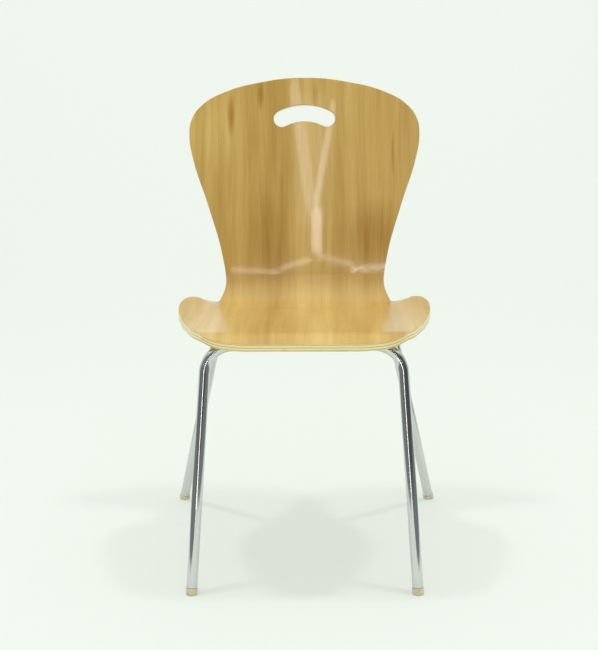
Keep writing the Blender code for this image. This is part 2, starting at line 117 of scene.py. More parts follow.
def evaluated(obj: bpy.types.Object) -> bpy.types.Mesh:
    """Return a copy of the mesh that an object's curve or modifiers make."""
    graph = bpy.context.evaluated_depsgraph_get()
    return bpy.data.meshes.new_from_object(obj.evaluated_get(graph))


def link_new(name: str, data: bpy.types.ID) -> bpy.types.Object:
    """Make an object and link it to the scene.

    Args:
        name: The object's name.
        data: Its mesh, curve, lamp or camera.

    Returns:
        The object.
    """
    obj = bpy.data.objects.new(name, data)
    bpy.context.scene.collection.objects.link(obj)
    return obj


def cut_out(mesh: bpy.types.Mesh, cutters: Iterable[bpy.types.Mesh]) -> bpy.types.Mesh:
    """Take each cutter out of a mesh by a Boolean.

    Args:
        mesh: The closed mesh to cut.
        cutters: Closed meshes in the same frame.

    Returns:
        The cut mesh.
    """
    body = link_new("body", mesh)
    helpers = []
    for cutter in cutters:
        tool = link_new("cutter", cutter)
        step = body.modifiers.new("cut", 'BOOLEAN')
        step.operation = 'DIFFERENCE'
        step.solver = 'EXACT'
        step.object = tool
        helpers.append(tool)
    result = evaluated(body)
    for helper in [body, *helpers]:
        bpy.data.objects.remove(helper, do_unlink=True)
    return result


def turned(profile: Sequence[tuple[float, float]], sides: int = 48) -> bmesh.types.BMesh:
    """Spin a (radius, height) profile about Z.

    Args:
        profile: The section's points; a section off the axis is closed into a ring.
        sides: Steps of the full turn.

    Returns:
        The turned solid.
    """
    bm = bmesh.new()
    points = [bm.verts.new((radius, 0.0, height)) for radius, height in profile]
    ring = points + points[:1] if profile[0][0] > 0.0 else points
    edges = [bm.edges.new(pair) for pair in zip(ring, ring[1:])]
    bmesh.ops.spin(bm, geom=points + edges, axis=(0, 0, 1), cent=(0, 0, 0),
                   angle=math.tau, steps=sides, use_merge=True)
    return bm


def rounded(corners: Sequence[tuple[float, float, float]],
            steps: int = 4) -> list[tuple[float, float]]:
    """Round the corners of a profile.

    Args:
        corners: (radius, height, rounding) of each corner in order.
        steps: Segments of each rounded corner.

    Returns:
        The (radius, height) points of the rounded profile.
    """
    points = []
    count = len(corners)
    for index, (r, h, ease) in enumerate(corners):
        here = Vector((r, h))
        if ease <= 0.0:
            points.append((r, h))
            continue
        before = (Vector(corners[index - 1][:2]) - here).normalized()
        after = (Vector(corners[(index + 1) % count][:2]) - here).normalized()
        for step in range(steps + 1):
            share = step / steps
            near, far = here + before * ease, here + after * ease
            point = near * (1 - share) ** 2 + here * 2 * share * (1 - share) + far * share ** 2
            points.append((point.x, point.y))
    return points


def swept(route: Sequence[Vector], radii: Sequence[float], sides: int,
          closed: bool) -> bmesh.types.BMesh:
    """Bridge rings that stand square to a route.

    Args:
        route: The route's points.
        radii: The ring's radius at each point.
        sides: Vertices of each ring.
        closed: Join the last ring to the first one.

    Returns:
        The swept skin, open at its ends unless it is closed.
    """
    bm = bmesh.new()
    loops = []
    up = None
    count = len(route)
    for index, (point, radius) in enumerate(zip(route, radii)):
        before = route[index - 1] if index or closed else point
        after = route[(index + 1) % count] if index < count - 1 or closed else point
        along = (after - before).normalized()
        if up is None:
            up = along.orthogonal()
        up = (up - along * up.dot(along)).normalized()
        turn = Matrix((along.cross(up), up, along)).transposed().to_4x4()
        ring = bmesh.ops.create_circle(bm, cap_ends=False, segments=sides, radius=radius,
                                       matrix=Matrix.Translation(point) @ turn)["verts"]
        loops.append({edge for vert in ring for edge in vert.link_edges})
    pairs = list(zip(loops, loops[1:]))
    if closed:
        pairs.append((loops[-1], loops[0]))
    for first, second in pairs:
        bmesh.ops.bridge_loops(bm, edges=list(first | second))
    return bm


def smooth(u: float) -> float:
    """Ease a share.

    Args:
        u: The share; it is clamped to 0 and 1.

    Returns:
        The eased share, from 0 to 1.
    """
    u = min(max(u, 0.0), 1.0)
    return u * u * (3.0 - 2.0 * u)


# --- shared shading work -----------------------------------------------------------

@dataclass
class Bench:
    """A node tree with short calls that add and join its nodes."""

    tree: bpy.types.NodeTree

    def add(self, kind: str, inputs: dict[str | int, object] | None = None,
            **settings: object) -> bpy.types.Node:
        """Add a node.

        Args:
            kind: The node's type, without its ShaderNode prefix.
            inputs: Values or sockets for its inputs, by name or number.
            settings: Values of its own properties.

        Returns:
            The node.
        """
        node = self.tree.nodes.new(kind if kind.startswith("Node") else "ShaderNode" + kind)
        for name, value in settings.items():
            setattr(node, name, value)
        for name, value in (inputs or {}).items():
            if isinstance(value, bpy.types.NodeSocket):
                self.tree.links.new(value, node.inputs[name])
            else:
                node.inputs[name].default_value = value
        return node

    def group(self, tree: bpy.types.NodeTree, vector: bpy.types.NodeSocket,
              **values: float) -> bpy.types.NodeOutputs:
        """Place a shared group.

        Args:
            tree: The group.
            vector: Socket of its Vector input.
            values: Its other inputs, by name.

        Returns:
            The group node's outputs.
        """
        node = self.tree.nodes.new("ShaderNodeGroup")
        node.node_tree = tree
        self.tree.links.new(vector, node.inputs["Vector"])
        for name, value in values.items():
            node.inputs[name].default_value = value
        return node.outputs

    def maths(self, operation: str, *values: object, clamp: bool = False) -> bpy.types.NodeSocket:
        """Add one Math node.

        Args:
            operation: The node's operation.
            values: Numbers or sockets for its inputs, in order.
            clamp: Keep the result from 0 to 1.

        Returns:
            The result's socket.
        """
        node = self.add("Math", dict(enumerate(values)), operation=operation, use_clamp=clamp)
        return node.outputs[0]

    def vector(self, operation: str, *values: object) -> bpy.types.NodeSocket:
        """Return the vector result of one Vector Math node."""
        return self.add("VectorMath", dict(enumerate(values)), operation=operation).outputs[0]

    def noise(self, vector: bpy.types.NodeSocket, scale: float, detail: float = 2.0,
              roughness: float = 0.5) -> bpy.types.NodeSocket:
        """Add one Noise Texture.

        Args:
            vector: Socket of its place.
            scale: Its scale.
            detail: Its octaves.
            roughness: How strong the fine octaves are.

        Returns:
            The value's socket.
        """
        node = self.add("TexNoise", {"Vector": vector, "Scale": scale, "Detail": detail,
                                     "Roughness": roughness})
        return node.outputs[0]

    def span(self, value: object, low: float, high: float, to_low: float = 0.0,
             to_high: float = 1.0) -> bpy.types.NodeSocket:
        """Map a value from one range to another, and clamp it.

        Args:
            value: Number or socket to map.
            low: Value that gives to_low.
            high: Value that gives to_high.
            to_low: First end of the result.
            to_high: Other end of the result.

        Returns:
            The result's socket.
        """
        node = self.add("MapRange", {0: value, 1: low, 2: high, 3: to_low, 4: to_high})
        return node.outputs[0]

    def mix(self, share: object, first: object, second: object) -> bpy.types.NodeSocket:
        """Mix two colours.

        Args:
            share: Number or socket, 0 for the first colour and 1 for the second.
            first: Colour or socket.
            second: Colour or socket.

        Returns:
            The mixed colour's socket.
        """
        node = self.add("Mix", data_type='RGBA')
        for index, value in ((0, share), (6, first), (7, second)):
            if isinstance(value, bpy.types.NodeSocket):
                self.tree.links.new(value, node.inputs[index])
            else:
                node.inputs[index].default_value = (*value, 1.0) if isinstance(value, tuple) else value
        return node.outputs[2]

    def ramp(self, value: object, stops: Sequence[tuple[float, float]]) -> bpy.types.NodeSocket:
        """Read a grey value from a smooth ramp.

        Args:
            value: Socket of the place on the ramp.
            stops: (place, level) of each stop.

        Returns:
            The level's socket.
        """
        node = self.add("ValToRGB", {0: value})
        bar = node.color_ramp
        bar.interpolation = 'B_SPLINE'
        for index, (place, level) in enumerate(stops):
            stop = bar.elements[index] if index < 2 else bar.elements.new(place)
            stop.position = place
            stop.color = (level, level, level, 1.0)
        return self.add("SeparateColor", {0: node.outputs[0]}).outputs[0]


def shared_group(name: str, inputs: Sequence[tuple[str, str, float]], outputs: Sequence[str],
                 wire: Callable[[Bench, bpy.types.Node, bpy.types.Node], None]) -> bpy.types.NodeTree:
    """Return a node group, made on its first use.

    Args:
        name: The group's name.
        inputs: (name, kind, value) of each input; kind is Float or Vector.
        outputs: Names of its values.
        wire: Joins the group's input node to its output node.

    Returns:
        The group.
    """
    group = bpy.data.node_groups.get(name)
    if group:
        return group
    group = bpy.data.node_groups.new(name, 'ShaderNodeTree')
    for label, kind, value in inputs:
        socket = group.interface.new_socket(label, in_out='INPUT', socket_type="NodeSocket" + kind)
        if kind == "Float":
            socket.default_value = value
    for label in outputs:
        group.interface.new_socket(label, in_out='OUTPUT', socket_type='NodeSocketFloat')
    bench = Bench(group)
    wire(bench, bench.add("NodeGroupInput"), bench.add("NodeGroupOutput"))
    return group


def grain_group() -> bpy.types.NodeTree:
    """Wire the wood grain group: long fibres, broad figure and short pores.

    Returns:
        The node group.
    """

    def wire(bench: Bench, given: bpy.types.Node, result: bpy.types.Node) -> None:
        """Join the grain's nodes.

        Args:
            bench: The group's bench.
            given: Its input node.
            result: Its output node.
        """
        sway = bench.noise(bench.vector('MULTIPLY', given.outputs["Vector"], (14.0, 3.2, 14.0)), 1.0, 1.0)
        shift = bench.add("CombineXYZ", {"X": bench.maths('MULTIPLY', sway, given.outputs["Sway"])})
        bent = bench.vector('ADD', given.outputs["Vector"], shift.outputs[0])
        fine = bench.noise(bench.vector('MULTIPLY', bent, (900.0, 14.0, 900.0)), 1.0, 3.0, 0.6)
        broad = bench.noise(bench.vector('MULTIPLY', bent, (62.0, 2.6, 62.0)), 1.0, 3.0, 0.55)
        pores = bench.noise(bench.vector('MULTIPLY', bent, (1500.0, 120.0, 1500.0)), 1.0, 1.0)
        for label, value in (("Fibre", fine), ("Figure", broad),
                             ("Pore", bench.span(pores, 0.66, 0.78))):
            bench.tree.links.new(value, result.inputs[label])

    return shared_group("wood grain", (("Vector", "Vector", 0.0), ("Sway", "Float", 0.02)),
                        ("Fibre", "Figure", "Pore"), wire)


def handling_group() -> bpy.types.NodeTree:
    """Wire the handling group: wiped smudges and hair scratches.

    Returns:
        The node group.
    """

    def wire(bench: Bench, given: bpy.types.Node, result: bpy.types.Node) -> None:
        """Join the handling marks' nodes.

        Args:
            bench: The group's bench.
            given: Its input node.
            result: Its output node.
        """
        place = given.outputs["Vector"]
        smudge = bench.noise(place, 24.0, 4.0, 0.62)
        hair = bench.noise(bench.vector('MULTIPLY', place, (420.0, 60.0, 900.0)), 1.0, 2.0, 0.7)
        thin = bench.maths('ABSOLUTE', bench.maths('SUBTRACT', hair, 0.5))
        scratch = bench.maths('MULTIPLY', bench.span(thin, 0.0, 0.012, 1.0, 0.0),
                              bench.span(bench.noise(place, 31.0, 1.0), 0.52, 0.66))
        bench.tree.links.new(bench.span(smudge, 0.35, 0.7), result.inputs["Smudge"])
        bench.tree.links.new(scratch, result.inputs["Scratch"])

    return shared_group("handling marks", (("Vector", "Vector", 0.0),), ("Smudge", "Scratch"), wire)


def grime_group() -> bpy.types.NodeTree:
    """Wire the grime group: a mask that gathers towards the floor.

    Returns:
        The node group.
    """

    def wire(bench: Bench, given: bpy.types.Node, result: bpy.types.Node) -> None:
        """Join the grime's nodes.

        Args:
            bench: The group's bench.
            given: Its input node.
            result: Its output node.
        """
        height = bench.add("SeparateXYZ", {0: given.outputs["Vector"]}).outputs[2]
        low = bench.span(height, 0.0, given.outputs["Reach"], 1.0, 0.0)
        patch = bench.span(bench.noise(given.outputs["Vector"], 260.0, 4.0, 0.65), 0.42, 0.7)
        bench.tree.links.new(bench.maths('MULTIPLY', low, patch), result.inputs["Grime"])

    return shared_group("floor grime", (("Vector", "Vector", 0.0), ("Reach", "Float", 0.05)),
                        ("Grime",), wire)


@dataclass(frozen=True)
class Finish:
    """What every finish shares: a name, a base colour and a roughness."""

    name: str
    colour: Colour
    roughness: float

    def start(self) -> tuple[Bench, bpy.types.Node, bpy.types.Material]:
        """Start a new material.

        Returns:
            Its bench, its shader and the material.
        """
        made = bpy.data.materials.new(self.name)
        made.use_nodes = True
        shader = made.node_tree.nodes["Principled BSDF"]
        shader.inputs["Base Color"].default_value = (*self.colour, 1.0)
        shader.inputs["Roughness"].default_value = self.roughness
        made.diffuse_color = (*self.colour, 1.0)
        return Bench(made.node_tree), shader, made

    def build(self) -> bpy.types.Material:
        """Return the material, made on its first use."""
        return bpy.data.materials.get(self.name) or self.dress()

    def dress(self) -> bpy.types.Material:
        """Make the material; each finish has its own."""
        raise NotImplementedError

    @staticmethod
    def relief(bench: Bench, shader: bpy.types.Node, height: object, depth: float,
               strength: float) -> None:
        """Join a height to the shader's normal.

        Args:
            bench: The material's bench.
            shader: Its Principled shader.
            height: Socket of the height, 0 to 1.
            depth: What 1 stands for, in metres.
            strength: The bump's strength.
        """
        bump = bench.add("Bump", {"Height": height, "Distance": depth, "Strength": strength})
        bench.tree.links.new(bump.outputs[0], shader.inputs["Normal"])


@dataclass(frozen=True)
class WoodStreakOrPaintedLight:
    """A soft-edged patch of the leaf that is darker, or paler where depth is negative. Some are marks of the
    wood itself, others are painted shade and painted light.
    """

    x: float
    station: float
    half_width: float
    half_length: float
    depth: float

    def darken(self, bench: Bench, blank: bpy.types.NodeSocket,
               leaf: bpy.types.NodeSocket) -> bpy.types.NodeSocket:
        """Take the patch off the leaf's tone; some patches are painted shade and painted light.

        Args:
            bench: The material's bench.
            blank: Socket of the place on the flat blank.
            leaf: Socket of the leaf's tone so far.

        Returns:
            The new tone's socket.
        """
        scale = (1.0 / self.half_width, 1.0 / self.half_length, 0.0)
        away = bench.vector('MULTIPLY', bench.vector('SUBTRACT', blank, (self.x, self.station, 0.0)), scale)
        reach = bench.add("VectorMath", {0: away}, operation='LENGTH').outputs["Value"]
        near = bench.add("MapRange", {0: reach, 1: 0.15, 2: 1.0, 3: self.depth, 4: 0.0},
                         interpolation_type='SMOOTHSTEP').outputs[0]
        return bench.maths('SUBTRACT', leaf, near)


@dataclass(frozen=True)
class LacqueredVeneer(Finish):
    """Honey-coloured veneer under clear gloss lacquer; its grain runs up the shell."""

    dark: Colour = (0.36, 0.19, 0.026)
    pale: Colour = (0.64, 0.440, 0.138)
    figure: tuple[tuple[float, float], ...] = ()
    streaks_and_painted_light: tuple[WoodStreakOrPaintedLight, ...] = ()
    half_width: float = 0.23
    coat: float = 1.0
    coat_roughness: float = 0.055

    def dress(self) -> bpy.types.Material:
        """Make the veneer: leaf tones, figure, the wood's own marks, painted shade and painted light,
        fibres, pores and lacquer.

        Returns:
            The material.
        """
        bench, shader, made = self.start()
        blank = bench.add("Attribute", attribute_name="blank").outputs["Vector"]
        parts = bench.add("SeparateXYZ", {0: blank}).outputs
        grain = bench.group(grain_group(), blank, Sway=0.018)
        marks = bench.group(handling_group(), blank)
        wander = bench.noise(bench.vector('MULTIPLY', blank, (9.0, 5.0, 1.0)), 1.0, 2.0)
        across = bench.maths('ADD', parts[0], bench.span(wander, 0.3, 0.7, -0.006, 0.006))
        leaf = bench.ramp(bench.span(across, -self.half_width, self.half_width), self.figure)
        # Some of these patches carry painted shade and painted light.
        for streak_or_light in self.streaks_and_painted_light:
            leaf = streak_or_light.darken(bench, blank, leaf)
        tone = bench.maths('ADD', leaf, bench.span(grain["Figure"], 0.3, 0.7, -0.22, 0.22))
        tone = bench.maths('ADD', tone, bench.span(grain["Fibre"], 0.3, 0.7, -0.12, 0.12), clamp=True)
        colour = bench.mix(tone, self.dark, self.pale)
        colour = bench.mix(bench.maths('MULTIPLY', grain["Pore"], 0.35), colour, self.dark)
        bench.tree.links.new(colour, shader.inputs["Base Color"])
        worn = bench.span(marks["Smudge"], 0.0, 1.0, self.roughness - 0.03, self.roughness + 0.05)
        bench.tree.links.new(worn, shader.inputs["Roughness"])
        clear = bench.span(marks["Scratch"], 0.0, 1.0, self.coat, self.coat * 0.6)
        bench.tree.links.new(clear, shader.inputs["Coat Weight"])
        shader.inputs["Coat Roughness"].default_value = self.coat_roughness
        shader.inputs["Coat IOR"].default_value = 1.5
        shader.inputs["Specular IOR Level"].default_value = 0.15
        height = bench.maths('SUBTRACT', bench.maths('MULTIPLY', grain["Fibre"], 0.5),
                             bench.maths('MULTIPLY', grain["Pore"], 0.6))
        self.relief(bench, shader, height, 0.00006, 0.35)
        return made


@dataclass(frozen=True)
class PlyEdge(Finish):
    """The sanded edge of the ply: pale bundles of plies between dark cross plies."""

    brown: Colour = (0.66, 0.54, 0.24)
    cross: Colour = (0.36, 0.26, 0.08)
    pitch: float = 0.0051
    cross_half: float = 0.08
    glue_at: float = 0.30

    def dress(self) -> bpy.types.Material:
        """Make the edge: alternating plies, glue lines, end grain and clear lacquer.

        Returns:
            The material.
        """
        bench, shader, made = self.start()
        blank = bench.add("Attribute", attribute_name="blank").outputs["Vector"]
        depth = bench.add("SeparateXYZ", {0: blank}).outputs[2]
        waver = bench.noise(blank, 34.0, 2.0)
        level = bench.maths('ADD', depth, bench.span(waver, 0.3, 0.7, -0.00016, 0.00016))
        turn = bench.maths('FRACT', bench.maths('ADD', bench.maths('DIVIDE', level, self.pitch), 4.5))
        rim = bench.maths('ABSOLUTE', bench.maths('SUBTRACT', turn, 0.5))
        line = bench.span(rim, self.cross_half, self.cross_half + 0.05, 1.0, 0.0)
        off_glue = bench.maths('ABSOLUTE', bench.maths('SUBTRACT', rim, self.glue_at))
        glue = bench.span(off_glue, 0.01, 0.04, 0.35, 0.0)
        end_grain = bench.noise(bench.vector('MULTIPLY', blank, (520.0, 520.0, 900.0)), 1.0, 3.0, 0.7)
        long_grain = bench.noise(bench.vector('MULTIPLY', blank, (60.0, 60.0, 2600.0)), 1.0, 3.0, 0.6)
        pale = bench.mix(bench.span(long_grain, 0.3, 0.7, 0.0, 0.35), self.colour, self.brown)
        dark = bench.mix(bench.span(end_grain, 0.3, 0.7, 0.0, 0.45), self.cross, self.brown)
        colour = bench.mix(bench.maths('MAXIMUM', line, glue), pale, dark)
        bench.tree.links.new(colour, shader.inputs["Base Color"])
        bench.tree.links.new(bench.span(end_grain, 0.3, 0.7, self.roughness - 0.06, self.roughness + 0.10),
                             shader.inputs["Roughness"])
        shader.inputs["Coat Weight"].default_value = 0.5
        shader.inputs["Coat Roughness"].default_value = 0.20
        self.relief(bench, shader, bench.maths('SUBTRACT', end_grain, line), 0.00010, 0.5)
        return made


@dataclass(frozen=True)
class PlatedSteel(Finish):
    """Plated steel; chrome is smooth and zinc is frosted."""

    frost: float = 0.02
    frost_scale: float = 300.0
    tarnish: Colour = (0.30, 0.29, 0.26)
    grime_reach: float = 0.03

    def dress(self) -> bpy.types.Material:
        """Make the plate: smudges, hair scratches, frost and grime near the floor.

        Returns:
            The material.
        """
        bench, shader, made = self.start()
        place = bench.add("TexCoord").outputs["Object"]
        marks = bench.group(handling_group(), place)
        grime = bench.group(grime_group(), place, Reach=self.grime_reach)
        frost = bench.noise(place, self.frost_scale, 4.0, 0.65)
        shader.inputs["Metallic"].default_value = 1.0
        shade = bench.mix(bench.span(frost, 0.35, 0.7, 0.0, 0.12), self.colour, self.tarnish)
        shade = bench.mix(bench.maths('MULTIPLY', grime[0], 0.45), shade, self.tarnish)
        bench.tree.links.new(shade, shader.inputs["Base Color"])
        rough = bench.span(marks["Smudge"], 0.0, 1.0, self.roughness, self.roughness + self.frost)
        rough = bench.maths('ADD', rough, bench.maths('MULTIPLY', marks["Scratch"], 0.10))
        rough = bench.maths('ADD', rough, bench.maths('MULTIPLY', grime[0], 0.22), clamp=True)
        bench.tree.links.new(rough, shader.inputs["Roughness"])
        self.relief(bench, shader, frost, 0.00002, min(1.0, self.frost * 3.0))
        return made


@dataclass(frozen=True)
class MouldedPolymer(Finish):
    """Moulded plastic or rubber, with a spark-eroded skin and scuffs."""

    scuff: Colour = (0.16, 0.15, 0.14)
    skin_scale: float = 2400.0
    skin_depth: float = 0.00003
    glow: float = 0.0
    grime_reach: float = 0.0

    def dress(self) -> bpy.types.Material:
        """Make the polymer: fine skin, scuffs and, for a clear one, light within.

        Returns:
            The material.
        """
        bench, shader, made = self.start()
        place = bench.add("TexCoord").outputs["Object"]
        marks = bench.group(handling_group(), place)
        skin = bench.noise(place, self.skin_scale, 2.0, 0.6)
        cloud = bench.noise(place, 120.0, 3.0, 0.6)
        shade = bench.mix(bench.span(cloud, 0.35, 0.7, 0.0, 0.45), self.colour, self.scuff)
        if self.grime_reach > 0.0:
            grime = bench.group(grime_group(), place, Reach=self.grime_reach)
            shade = bench.mix(bench.maths('MULTIPLY', grime[0], 0.8), shade, self.scuff)
        bench.tree.links.new(shade, shader.inputs["Base Color"])
        bench.tree.links.new(bench.span(marks["Smudge"], 0.0, 1.0, self.roughness - 0.05,
                                        self.roughness + 0.10), shader.inputs["Roughness"])
        if self.glow > 0.0:
            shader.inputs["Subsurface Weight"].default_value = self.glow
            shader.inputs["Subsurface Radius"].default_value = (1.0, 0.8, 0.4)
            shader.inputs["Subsurface Scale"].default_value = 0.004
        self.relief(bench, shader, skin, self.skin_depth, 0.5)
        return made


@dataclass(frozen=True)
class StudioPaint(Finish):
    """Pale matt paint of the floor and the wall, which gives off some light of its own.

    Only in mirrored rays, it turns dim beside a strip and across a band of the wall.
    """

    dim: Colour = (0.08, 0.085, 0.085)
    lit: Colour = (0.40, 0.42, 0.39)
    lit_wall: Colour = (0.46, 0.49, 0.465)
    strip_half: float = 0.50
    strip_fade: float = 0.25
    back_y: float = 0.6
    back_fade: float = 0.5
    shade_from: float = 1.65
    shade_to: float = 2.6
    shade_share: float = 0.75

    def dress(self) -> bpy.types.Material:
        """Make the paint with a faint roller texture and its dim mirror image.

        Returns:
            The material.
        """
        bench, shader, made = self.start()
        place = bench.add("TexCoord").outputs["Object"]
        parts = bench.add("SeparateXYZ", {0: place}).outputs
        roller = bench.noise(place, 40.0, 3.0, 0.6)
        shade = tuple(value * 0.985 for value in self.colour)
        paint = bench.mix(bench.span(roller, 0.3, 0.7), self.colour, shade)
        beside = bench.span(bench.maths('ABSOLUTE', parts[0]),
                            self.strip_half, self.strip_half + self.strip_fade)
        ahead = bench.span(parts[1], self.back_y, self.back_y - self.back_fade)
        mirrored = bench.add("LightPath").outputs["Is Glossy Ray"]
        rising = bench.span(parts[2], self.shade_from - 0.3, self.shade_from + 0.3, 0.0, self.shade_share)
        above = bench.maths('MULTIPLY', rising, bench.span(parts[2], self.shade_to + 0.4, self.shade_to))
        share = bench.maths('MULTIPLY', beside, ahead)
        share = bench.maths('MULTIPLY', bench.maths('MAXIMUM', share, above), mirrored)
        bench.tree.links.new(bench.mix(share, paint, self.dim), shader.inputs["Base Color"])
        lit = bench.mix(bench.span(parts[2], 0.0, 1.2), self.lit, self.lit_wall)
        bench.tree.links.new(bench.mix(share, lit, self.dim), shader.inputs["Emission Color"])
        shader.inputs["Emission Strength"].default_value = 1.0
        self.relief(bench, shader, roller, 0.0004, 0.1)
        return made


FACE_VENEER = LacqueredVeneer(
    "face veneer", (0.55, 0.34, 0.10), 0.40,
    figure=((0.0, 0.58), (0.10, 0.62), (0.17, 0.66), (0.235, 0.64), (0.30, 0.56), (0.335, 0.36),
            (0.375, 0.24), (0.42, 0.42), (0.455, 0.62), (0.53, 0.70), (0.60, 0.66), (0.66, 0.60),
            (0.72, 0.62), (0.79, 0.50), (0.85, 0.46), (0.90, 0.54), (1.0, 0.62)),
    # The two broad dark patches at station 0.5 are partly the wood's darker tone and partly painted shade,
    # where the lower back gets less light; the narrow dark ones are the wood's own.
    streaks_and_painted_light=(WoodStreakOrPaintedLight(-0.075, 0.500, 0.055, 0.110, 0.20), WoodStreakOrPaintedLight(0.130, 0.500, 0.075, 0.085, 0.36),
             WoodStreakOrPaintedLight(-0.140, 0.728, 0.009, 0.055, 0.75), WoodStreakOrPaintedLight(-0.083, 0.768, 0.008, 0.040, 0.50),
             WoodStreakOrPaintedLight(0.168, 0.650, 0.004, 0.055, 0.30), WoodStreakOrPaintedLight(0.020, 0.765, 0.010, 0.030, 0.25),
             # The broad pale patch round station 0.2 is painted light: the seat is made paler where light
             # from above falls on it.
             WoodStreakOrPaintedLight(0.0, 0.200, 0.320, 0.340, -0.10), WoodStreakOrPaintedLight(-0.165, 0.700, 0.060, 0.110, -0.22)))
SEAT_VENEER = replace(FACE_VENEER, name="seat veneer", coat_roughness=0.32)
BACK_VENEER = LacqueredVeneer(
    "back veneer", (0.55, 0.34, 0.10), 0.36,
    figure=((0.0, 0.60), (0.12, 0.72), (0.24, 0.52), (0.33, 0.70), (0.45, 0.80), (0.55, 0.58), (0.64, 0.48),
            (0.75, 0.74), (0.86, 0.66), (1.0, 0.76)))
PLY_EDGE = PlyEdge("ply edge", (0.94, 0.79, 0.39), 0.42)
CHROME = PlatedSteel("chrome plate", (0.69, 0.71, 0.70), 0.045, frost=0.05)
ZINC = PlatedSteel("zinc plate", (0.55, 0.56, 0.57), 0.30, frost=0.16, frost_scale=900.0, grime_reach=0.0)
WELD = PlatedSteel("weld bead", (0.42, 0.42, 0.42), 0.34, frost=0.20, frost_scale=1400.0, grime_reach=0.0)
AMBER = MouldedPolymer("amber plastic", (0.62, 0.58, 0.40), 0.34, scuff=(0.40, 0.36, 0.20),
                       skin_scale=1500.0, glow=0.35, grime_reach=0.006)
BLACK = MouldedPolymer("black plastic", (0.022, 0.022, 0.023), 0.46, scuff=(0.07, 0.07, 0.07))
RUBBER = MouldedPolymer("black rubber", (0.016, 0.016, 0.016), 0.72, scuff=(0.06, 0.058, 0.055),
                        skin_scale=1200.0, skin_depth=0.00006)
PAINT = StudioPaint("studio paint", (0.37, 0.392, 0.366), 0.85)


# --- the pressed shape --------------------------------------------------------------

@dataclass
class PressForm:
    """The press that bends the flat blank into the shell.

    The blank's x runs across, its station s from the seat's front edge to the top of
    the back, and t through the ply.
    """

    thickness: float = 0.015
    front_y: float = 0.0065
    front_z: float = 0.4378
    lip_slope: float = math.radians(14.0)
    lip_length: float = 0.028
    lip_turn: float = math.radians(-18.7)
    lip_turn_length: float = 0.022
    seat_length: float = 0.270
    bend_turn: float = math.radians(84.7)
    bend_length: float = 0.1035
    back_length: float = 0.376
    back_turn: float = math.radians(-3.0)
    flat_half: float = 0.100
    wing_curvature: float = 5.3
    wing_ahead: float = 0.030
    back_curvature: float = 1.82
    change_ahead: float = 0.020
    change_run: float = 0.120
    shift: float = field(init=False, default=0.0)

    def __post_init__(self) -> None:
        """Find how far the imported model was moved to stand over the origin."""
        middle = self.point(0.0, 0.0, self.thickness / 2)
        self.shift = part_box("seat_shell")[0].y - middle.y

    @property
    def lip_end(self) -> float:
        """Return the station where the lip's turn ends."""
        return self.lip_length + self.lip_turn_length

    @property
    def bend_start(self) -> float:
        """Return the station where the seat turns up."""
        return self.lip_end + self.seat_length

    @property
    def back_start(self) -> float:
        """Return the station where the back starts."""
        return self.bend_start + self.bend_length

    @property
    def length(self) -> float:
        """Return the blank's length."""
        return self.back_start + self.back_length

    def profile(self, station: float) -> tuple[float, float, float]:
        """Follow the side profile of the ply's middle.

        Args:
            station: How far along the blank.

        Returns:
            Its y, z and slope there.
        """
        y, z, slope = self.front_y, self.front_z, self.lip_slope
        pieces = ((self.lip_length, 0.0), (self.lip_turn_length, self.lip_turn), (self.seat_length, 0.0),
                  (self.bend_length, self.bend_turn), (self.back_length, self.back_turn))
        left = station
        for index, (length, turn) in enumerate(pieces):
            run = left if index == len(pieces) - 1 else min(left, length)
            end = slope + turn * run / length
            if abs(turn) < 1e-9:
                y += run * math.cos(slope)
                z += run * math.sin(slope)
            else:
                bend = length / turn
                y += bend * (math.sin(end) - math.sin(slope))
                z += bend * (math.cos(slope) - math.cos(end))
            slope = end
            left -= run
            if left <= 0.0:
                break
        return y, z, slope

    def dish(self, x: float, station: float) -> float:
        """Measure how far the shell rises off its side profile.

        Args:
            x: How far across the blank.
            station: How far along it.

        Returns:
            The rise, square to the profile.
        """
        rise = min(station / (self.bend_start - self.wing_ahead), 1.0) ** 2
        wing = max(abs(x) - self.flat_half, 0.0)
        seat = self.wing_curvature * rise * wing * wing / 2.0
        back = self.back_curvature * x * x / 2.0
        share = smooth((station - self.bend_start + self.change_ahead) / self.change_run)
        return (1.0 - share) * seat + share * back

    def point(self, x: float, station: float, t: float) -> Vector:
        """Press one point of the blank.

        Args:
            x: How far across the blank.
            station: How far along it.
            t: How far above the ply's middle.

        Returns:
            Where the point comes to lie, in the model's frame.
        """
        y, z, slope = self.profile(station)
        lift = self.dish(x, station) + t
        return Vector((x, y - math.sin(slope) * lift + self.shift, z + math.cos(slope) * lift))

    def normal(self, place: Vector, rest: Vector) -> Vector:
        """Turn a normal of the flat blank into the pressed shell's.

        Args:
            place: The blank's point (x, s, t).
            rest: The blank's normal there.

        Returns:
            The unit normal after pressing.
        """
        step = 1e-5
        along = [(self.point(*(place + step * axis)) - self.point(*(place - step * axis))) / (2 * step)
                 for axis in (Vector((1, 0, 0)), Vector((0, 1, 0)), Vector((0, 0, 1)))]
        across, up, out = along
        return (up.cross(out) * rest.x + out.cross(across) * rest.y + across.cross(up) * rest.z).normalized()

    def fixing(self, x: float, station: float, t: float = 0.0) -> Matrix:
        """Return a frame at a point of the seat, its Z square to the seat."""
        turn = Matrix.Rotation(self.profile(station)[2], 4, 'X')
        return Matrix.Translation(self.point(x, station, t)) @ turn


def show(mesh: bpy.types.Mesh, name: str, finishes: Sequence[Finish],
         nodes: Sequence[str]) -> bpy.types.Object:
    """Make a finished piece of a mesh that is already in place.

    Args:
        mesh: The mesh, in the model's frame.
        name: The piece's name.
        finishes: One finish for each material slot.
        nodes: The CAD nodes that the piece stands for.

    Returns:
        The piece.
    """
    piece = link_new(name, mesh)
    while len(mesh.materials) < len(finishes):
        mesh.materials.append(None)
    for index, finish in enumerate(finishes):
        mesh.materials[index] = finish.build()
    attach(piece, "root")
    if nodes:
        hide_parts(*nodes)
    LOG.info("%s: %d faces", name, len(mesh.polygons))
    return piece


